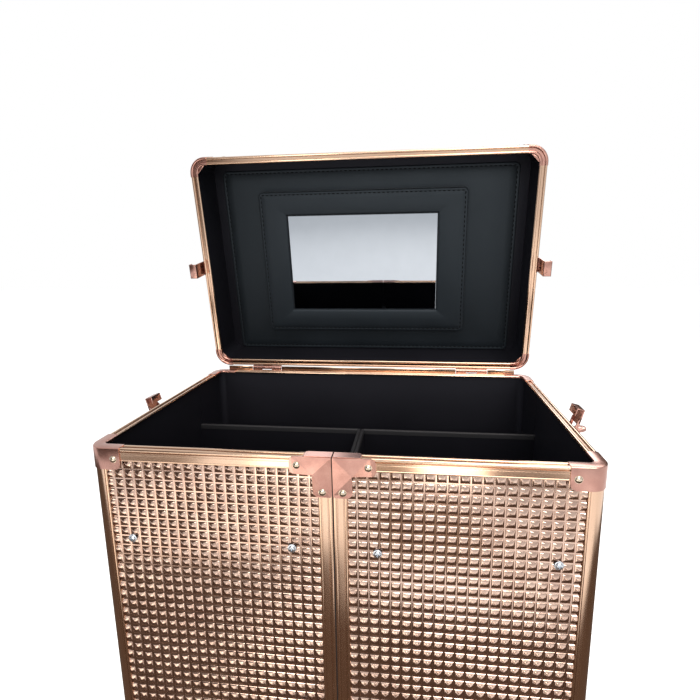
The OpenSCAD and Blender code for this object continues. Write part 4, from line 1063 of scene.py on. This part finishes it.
def hub():
    """Moulded hub: rim, boss, web and six spokes."""
    rim = [(18, -10.4), (18.4, -11), (20.9, -11), (20.9, 11), (18.4, 11), (18, 10.4)]
    boss = [(4.05, -11.6), (4.5, -12), (8.2, -12), (9.05, -11.2),
            (9.05, 11.2), (8.2, 12), (4.5, 12), (4.05, 11.6)]
    web = rectangle(8.5, -1, 18.5, 1)
    made = [turned(profile + profile[:1], sides) for profile, sides in ((rim, 64), (boss, 40), (web, 64))]
    for i in range(6):
        spoke = bar((8, -1.3, -7), (18.6, 1.3, 7), 0.6)
        made.append(placed(spoke, Matrix.Rotation(math.tau * i / 6, 4, "Z")))
    return made


piece("base_skirt_rails", skirt(), "rear_case", ROSE, "base_skirt", sharp=30)
piece("ribbed_feet", [placed(foot(), at((k * FOOT_X, FOOT_Y, 0))) for k in (-1, 1)], "rear_case", RUBBER,
      "front_feet", sharp=25)
for side, k in (("left", -1), ("right", 1)):
    wheel = at((k * WHEEL_X, AXLE_Y, WHEEL_R), Y, Z, X)
    piece(side + "_grooved_tyre", tyre(), side + "_wheel", RUBBER, side + "_tyre", wheel, 25)
    piece(side + "_spoked_hub", hub(), side + "_wheel", ABS, side + "_hub", wheel, 30)


# Pull handle

def handle_bracket(z):
    """Moulded bridge that carries both guide tubes, with real bores for them."""
    outline = [(-86, 0), (86, 0), (86, 26), (48, 26), (48, 6), (-48, 6), (-48, 26), (-86, 26)]
    height = 20
    shape = bmesh.new()
    points = [shape.verts.new((x, 0, y)) for x, y in outline]
    for a, b in zip(points, points[1:] + points[:1]):
        shape.edges.new((a, b))
    for radius, which in ((5, (2, 7)), (4, (3, 6)), (6, (4, 5))):
        round_corners(shape, [points[i] for i in which], radius)
    for x in (-TUBE_X, TUBE_X):
        place = Matrix.Translation((x, 0, TUBE_Y - BACK)) @ Matrix.Rotation(math.pi / 2, 4, "X")
        bmesh.ops.create_circle(shape, segments=40, radius=BORE_R, matrix=place)
    bmesh.ops.triangle_fill(shape, use_beauty=True, edges=shape.edges[:])
    thicken(shape, Y * height)
    rims = [e for e in shape.edges if e.is_manifold and e.calc_face_angle() > 1
            and abs(e.verts[0].co.y - e.verts[1].co.y) < 1e-5]
    round_edges(shape, rims, 1.0, 2)
    return placed(shape, at((0, BACK, z + height), X, -Z, Y))


def bracket_screws(z):
    """A screw at each end of a bridge and two in its middle."""
    return leaf_screws([(x, BACK + 26, z + 10) for x in (-80.5, 80.5)]
                       + [(x, BACK + 6, z + 10) for x in (-34, 34)], Y)


def handle_grip():
    """Grip with rounded ends and a hollow on either side of its middle, drawn along Z."""
    half = [(15, 13, 4, 77), (19.5, 17, 5.5, 76.2), (22.6, 20, 6, 74.2), (24, 21, 6.4, 70),
            (23.4, 20.4, 6.4, 50), (23.4, 20.4, 6.4, 24), (24, 21, 6.4, 18)]
    return [loft([(w, d, r, -z) for w, d, r, z in half] + half[::-1], 5)]


def grip_ribs():
    """Ribs under the fingers, eight on either side of the grip's middle."""
    made = []
    for s in (-1, 1):
        for i in range(8):
            z = s * (28 + 5.2 * i)
            made.append(loft([(23.2, 20.2, 6.3, z - 1.5), (24.2, 21, 6.6, z - 0.7), (24.2, 21, 6.6, z + 0.7),
                              (23.2, 20.2, 6.3, z + 1.5)], 3))
    return made


def release_button():
    top = GRIP_TOP + 2
    rings = [(27.6, 11.6, 2.4, top - 6), (28, 12, 2.6, top - 1.2), (27.4, 11.4, 2.6, top - 0.4),
             (26, 10, 2.2, top), (24, 8, 2.0, top), (22.6, 6.6, 1.8, top - 0.5), (8, 2.4, 0.8, top - 0.8)]
    return [placed(loft(rings, 4), at((0, TUBE_Y, 0)))]


GRIP = at((0, TUBE_Y, (GRIP_Z + GRIP_TOP) / 2), Y, Z, X)
bridges = [handle_bracket(z) for z in BRACKET_Z]
bridge_screws = [s for z in BRACKET_Z for s in bracket_screws(z)]
piece("tube_bridges", [bridges, bridge_screws], "rear_case", [ABS, ZINC], "handle_brackets", sharp=30)
piece("ribbed_grip", [handle_grip(), grip_ribs()], "pull_inner", [ABS, RUBBER], "handle_grip", GRIP, 40)
piece("thumb_button", release_button(), "release_button", ABS, "handle_button", sharp=40)


# Carry handle on the lid, drawn with the lid closed

def bail_arm():
    """Flat arm of the carry handle, its eye on the pivot, and the collar that holds the grip."""
    pivot = Vector((BAIL_X, MID, LID_TOP + BAIL_UP))
    arm = slab(rectangle(-5, -2.4, 34, 2.4), 7, [(2.3, (0, 3)), (1.5, (1, 2))], 0.8, True)
    collar = turned([(0, 4.5), (5.2, 4.5), (7, 3.2), (7, -3.2), (6.2, -4.2), (0, -4.2)])
    return [placed(arm, at(pivot + X * 3.5, Y, -X)),
            rod(pivot - X * 3.5, pivot + X * 3.5, 5, 32, 0.8),
            placed(collar, at(pivot + Y * BAIL_REACH, Y, Z, X))]


def bail_grip():
    """Turned grip with nineteen soft ribs."""
    profile = [(0, -61), (6.0, -61), (6.6, -59.6), (6.6, -57)]
    for i in range(19):
        z = -54 + 6.0 * i
        profile += [(5.7, z - 2.6), (6.7, z - 1.6), (6.95, z), (6.7, z + 1.6)]
    profile += [(5.7, 56.6), (6.6, 58), (6.6, 59.6), (6.0, 61), (0, 61)]
    return [placed(turned(profile), at((0, MID + BAIL_REACH, LID_TOP + BAIL_UP), Y, Z, X))]


def bail_socket():
    """Pressed socket of the carry handle: a foot, two cheeks and the pin between them."""
    plate = slab(rectangle(-7, -16, 13, 16), 3.8, [(3.5, (0, 1, 2, 3))], 0.9)
    made = [placed(plate, at((0, 0, 3), X, -Z, Y)), rod((-7.4, 0, BAIL_UP), (7.4, 0, BAIL_UP), 2.5, 24, 0.6)]
    for x in (-4, 7):
        cheek = slab([(-7.5, 0), (7.5, 0), (6, 9), (6, 15), (-6, 15), (-6, 9)], 3,
                     [(5.8, (3, 4)), (3, (2, 5))], 0.6, True)
        made.append(placed(cheek, at((x, 0, 0), Y, -X)))
    return [placed(s, at((BAIL_X, MID, LID_TOP))) for s in made]


def socket_screws():
    return [placed(screw(2.4, 1.0), at((BAIL_X + 9.6, MID + y, LID_TOP + 3))) for y in (-11, 11)]


piece("carry_bail", [on_both_sides(bail_arm), bail_grip()], "carry_handle", [COPPER, ABS], "lid_handle",
      LID_OPEN, 35)
piece("bail_sockets", [on_both_sides(bail_socket), on_both_sides(socket_screws)], "lid", [COPPER, ZINC],
      "lid_handle_sockets", LID_OPEN, 35)


# Finishes of the solids that stay as they are

KEPT = (
    (LAMINATE, ("base_plinth",)),
    (ABS, ("wheel_housings",)),
    (ZINC, ("wheel_axles", "hinge_pins")),
    (LINING, ("rear_box", "rear_shelves", "left_door_box", "right_door_box", "lid_box")),
    (COPPER, ("lid_hinge_lower_leaves", "lid_hinge_upper_leaves")),
    (ROSE_Z, ("door_hinge_rear_leaves", "left_hinge_leaves", "right_hinge_leaves")),
    (TUBE, ("handle_guide_tubes", "handle_middle_tubes", "handle_inner_tubes")),
)
for kept_finish, names in KEPT:
    for name in names:
        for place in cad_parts[name].material_slots:
            place.material = kept_finish


# Camera, world and floor

def photo_camera():
    """Camera solved from the photo's rim and lid corners."""
    data = bpy.data.cameras.new("photo_view")
    data.sensor_width, data.lens, data.clip_start = 36.0, 24.22, 0.01
    data.shift_x, data.shift_y = -0.0103, -0.0141
    camera = in_scene("photo_view", data)
    yaw, pitch, roll = (math.radians(a) for a in (-7.057, 10.597, -0.729))
    ahead = Vector((math.sin(yaw) * math.cos(pitch), math.cos(yaw) * math.cos(pitch), -math.sin(pitch)))
    level = Vector((math.cos(yaw), -math.sin(yaw), 0))
    right = math.cos(roll) * level + math.sin(roll) * level.cross(ahead)
    eye = Vector((60.9, FRONT - 327.1, RIM + 151.5)) / 1000
    camera.matrix_world = at(eye, right, right.cross(ahead), -ahead)
    bpy.context.scene.camera = camera


def seen_rays(tree):
    """1 on rays from the camera, off a glossy surface or through glass, and 0 on the others."""
    rays = add(tree, "ShaderNodeLightPath").outputs
    seen = rays["Is Camera Ray"]
    for kind in ("Is Glossy Ray", "Is Transmission Ray"):
        seen = add(tree, "ShaderNodeMath", {0: seen, 1: rays[kind]}, operation="MAXIMUM").outputs[0]
    return seen


def studio_world():
    """White where the camera and reflections see it, and dimmer as a light."""
    world = bpy.data.worlds.new("studio")
    bpy.context.scene.world = world
    world.use_nodes = True
    tree = world.node_tree
    background = tree.nodes["Background"].inputs
    background["Color"].default_value = (1, 1, 1, 1)
    level = add(tree, "ShaderNodeMapRange", {"Value": seen_rays(tree), "To Min": 0.45, "To Max": 1.0})
    tree.links.new(level.outputs["Result"], background["Strength"])


def floor_finish():
    """Pale matt studio floor, white where the camera and reflections see it lit."""
    material, tree, shader, where = finish("painted_studio_floor", Roughness=0.9, IOR=1.3,
                                           Emission_Color=(1, 1, 1, 1))
    grains = add(tree, "ShaderNodeTexNoise", {"Vector": where, "Scale": 3.0, "Detail": 2.0}).outputs["Fac"]
    tint(tree, shader, grains, "#e6e6e7", "#e9e9ea")
    glow = add(tree, "ShaderNodeMapRange", {"Value": seen_rays(tree), "To Min": 0.0, "To Max": 0.62})
    tree.links.new(glow.outputs["Result"], shader.inputs["Emission Strength"])
    return material


def flat_object(name, shape, material):
    """Object of a shape drawn in metres."""
    mesh = bpy.data.meshes.new(name)
    shape.to_mesh(mesh)
    shape.free()
    mesh.materials.append(material)
    return in_scene(name, mesh)


def studio_floor():
    ground = bmesh.new()
    bmesh.ops.create_grid(ground, x_segments=1, y_segments=1, size=9)
    flat_object("studio_floor", ground, floor_finish())


bpy.context.scene.view_settings.view_transform = "Standard"
photo_camera()
studio_world()
studio_floor()


# Studio cards and lamps, in metres

def soft_card(name, **constants):
    """Paper of a studio card whose edges fade out, so that no reflection ends in a hard line."""
    material, tree, shader, where = finish(name, Roughness=0.9, IOR=1.3, **constants)
    spot = add(tree, "ShaderNodeUVMap", uv_map="card").outputs["UV"]
    other = add(tree, "ShaderNodeVectorMath", {0: (1, 1, 0), 1: spot}, operation="SUBTRACT").outputs["Vector"]
    rises = add(tree, "ShaderNodeVectorMath", {0: spot, 1: other}, operation="MULTIPLY").outputs["Vector"]
    rise = add(tree, "ShaderNodeSeparateXYZ", {"Vector": rises}).outputs
    inside = add(tree, "ShaderNodeMath", {0: rise["X"], 1: rise["Y"]}, operation="MULTIPLY").outputs[0]
    shade = add(tree, "ShaderNodeMapRange", {"Value": inside, "From Max": 0.03},
                interpolation_type="SMOOTHSTEP")
    tree.links.new(shade.outputs["Result"], shader.inputs["Alpha"])
    return material


def studio_card(name, middle, across, along, paper):
    """Card that only reflections see, so that polished facets have something dark or bright to show."""
    shape = bmesh.new()
    shape.loops.layers.uv.new("card")
    bmesh.ops.create_grid(shape, x_segments=1, y_segments=1, size=1, calc_uvs=True)
    placed(shape, at(middle, across, along, across.cross(along)))
    card = flat_object(name, shape, paper)
    card.visible_camera = card.visible_diffuse = card.visible_shadow = card.visible_transmission = False


def softbox(name, place, aim, width, height, power, colour):
    lamp = bpy.data.lights.new(name, "AREA")
    lamp.shape, lamp.size, lamp.size_y, lamp.energy = "RECTANGLE", width, height, power
    lamp.color = linear(colour)[:3]
    place, aim = Vector(place), Vector(aim)
    turn = (aim - place).to_track_quat("-Z", "Y").to_matrix().to_4x4()
    in_scene(name, lamp).matrix_world = Matrix.Translation(place) @ turn


# Papers of the cards, which only reflections see: dark and grey ones that take the lamps' light and paint
# dark reflections on the metal and film, and two that glow though they are no lamps and paint highlights.
DARK = soft_card("painted_dark_reflection_card", Base_Color=linear("#5e4e43"))
HIGHLIGHT_GLOW = soft_card("painted_highlight_card", Emission_Color=linear("#fff3e2"), Emission_Strength=4.0)
GREY = soft_card("painted_grey_reflection_card", Base_Color=linear("#94826f"))
GLOW = soft_card("glow_studio_card", Emission_Color=linear("#fff3e2"), Emission_Strength=1.8)
# Upright dark cards that only reflections see: painted dark reflections on the metal and film.
for name, side in (("front_left_flag", -1), ("rear_right_flag", 1)):
    studio_card(name, (1.5 * side, 1.4 * side, 1.0), X * 0.7 - Y * 0.7, Z * 1.1, DARK)
# Floor cards that only reflections see: the dark and grey ones paint dark reflections on the metal and film,
# and the glowing ones paint highlights.
# Cards that lie just above the floor: middle, half width, half depth and paper.
FLOOR_CARDS = (
    ("front_floor_flag", (0, -0.38, 0.003), 0.95, 0.36, DARK),
    ("rear_floor_flag", (0, 0.52, 0.003), 0.95, 0.36, DARK),
    ("left_floor_flag", (-1.2, -0.1, 0.004), 0.98, 0.95, DARK),
    ("right_floor_flag", (0.7, 0.1, 0.004), 0.48, 0.75, DARK),
    ("middle_floor_flag", (-0.38, -0.67, 0.0045), 0.36, 0.24, DARK),
    ("near_left_floor_flag", (-0.89, -1.31, 0.005), 0.23, 0.14, DARK),
    ("near_middle_floor_flag", (-0.06, -1.3, 0.005), 0.15, 0.13, GREY),
    ("right_panel_flag", (0.1, -0.98, 0.005), 0.18, 0.2, GREY),
    ("near_right_floor_flag", (0.42, -1.31, 0.005), 0.19, 0.14, DARK),
    # These three cards glow though they are no lamps: painted highlights on the rails, the brackets and the
    # film.
    ("right_floor_painted_highlight", (0.19, -1.36, 0.006), 0.13, 0.16, HIGHLIGHT_GLOW),
    ("left_floor_painted_highlight", (-0.37, -1.34, 0.006), 0.15, 0.16, HIGHLIGHT_GLOW),
    ("left_panel_painted_highlight", (-0.5, -0.98, 0.006), 0.32, 0.22, GLOW),
)
for name, middle, half_width, half_depth, paper in FLOOR_CARDS:
    studio_card(name, middle, X * half_width, Y * half_depth, paper)
# Lamps: place, aim, width, height, watts and colour.
SOFTBOXES = (
    ("overhead_softbox", (0.5, -0.9, 2.4), (0, 0, 0.5), 1.6, 1.2, 36, "#fff6ee"),
    ("left_softbox", (-2.0, -1.2, 1.2), (0, 0, 0.5), 0.8, 1.6, 14, "#f4f7ff"),
    ("rear_softbox", (0.8, 1.9, 1.8), (0, 0, 0.6), 1.4, 1.0, 16, "#ffffff"),
    ("left_window", (-0.6, -2.3, 1.15), (0, -0.1, 0.5), 0.4, 0.8, 7, "#fffaf2"),
    ("right_window", (0.53, -2.25, 1.15), (0, -0.1, 0.5), 0.6, 0.8, 13, "#fffaf2"),
)
for lamp in SOFTBOXES:
    softbox(*lamp)
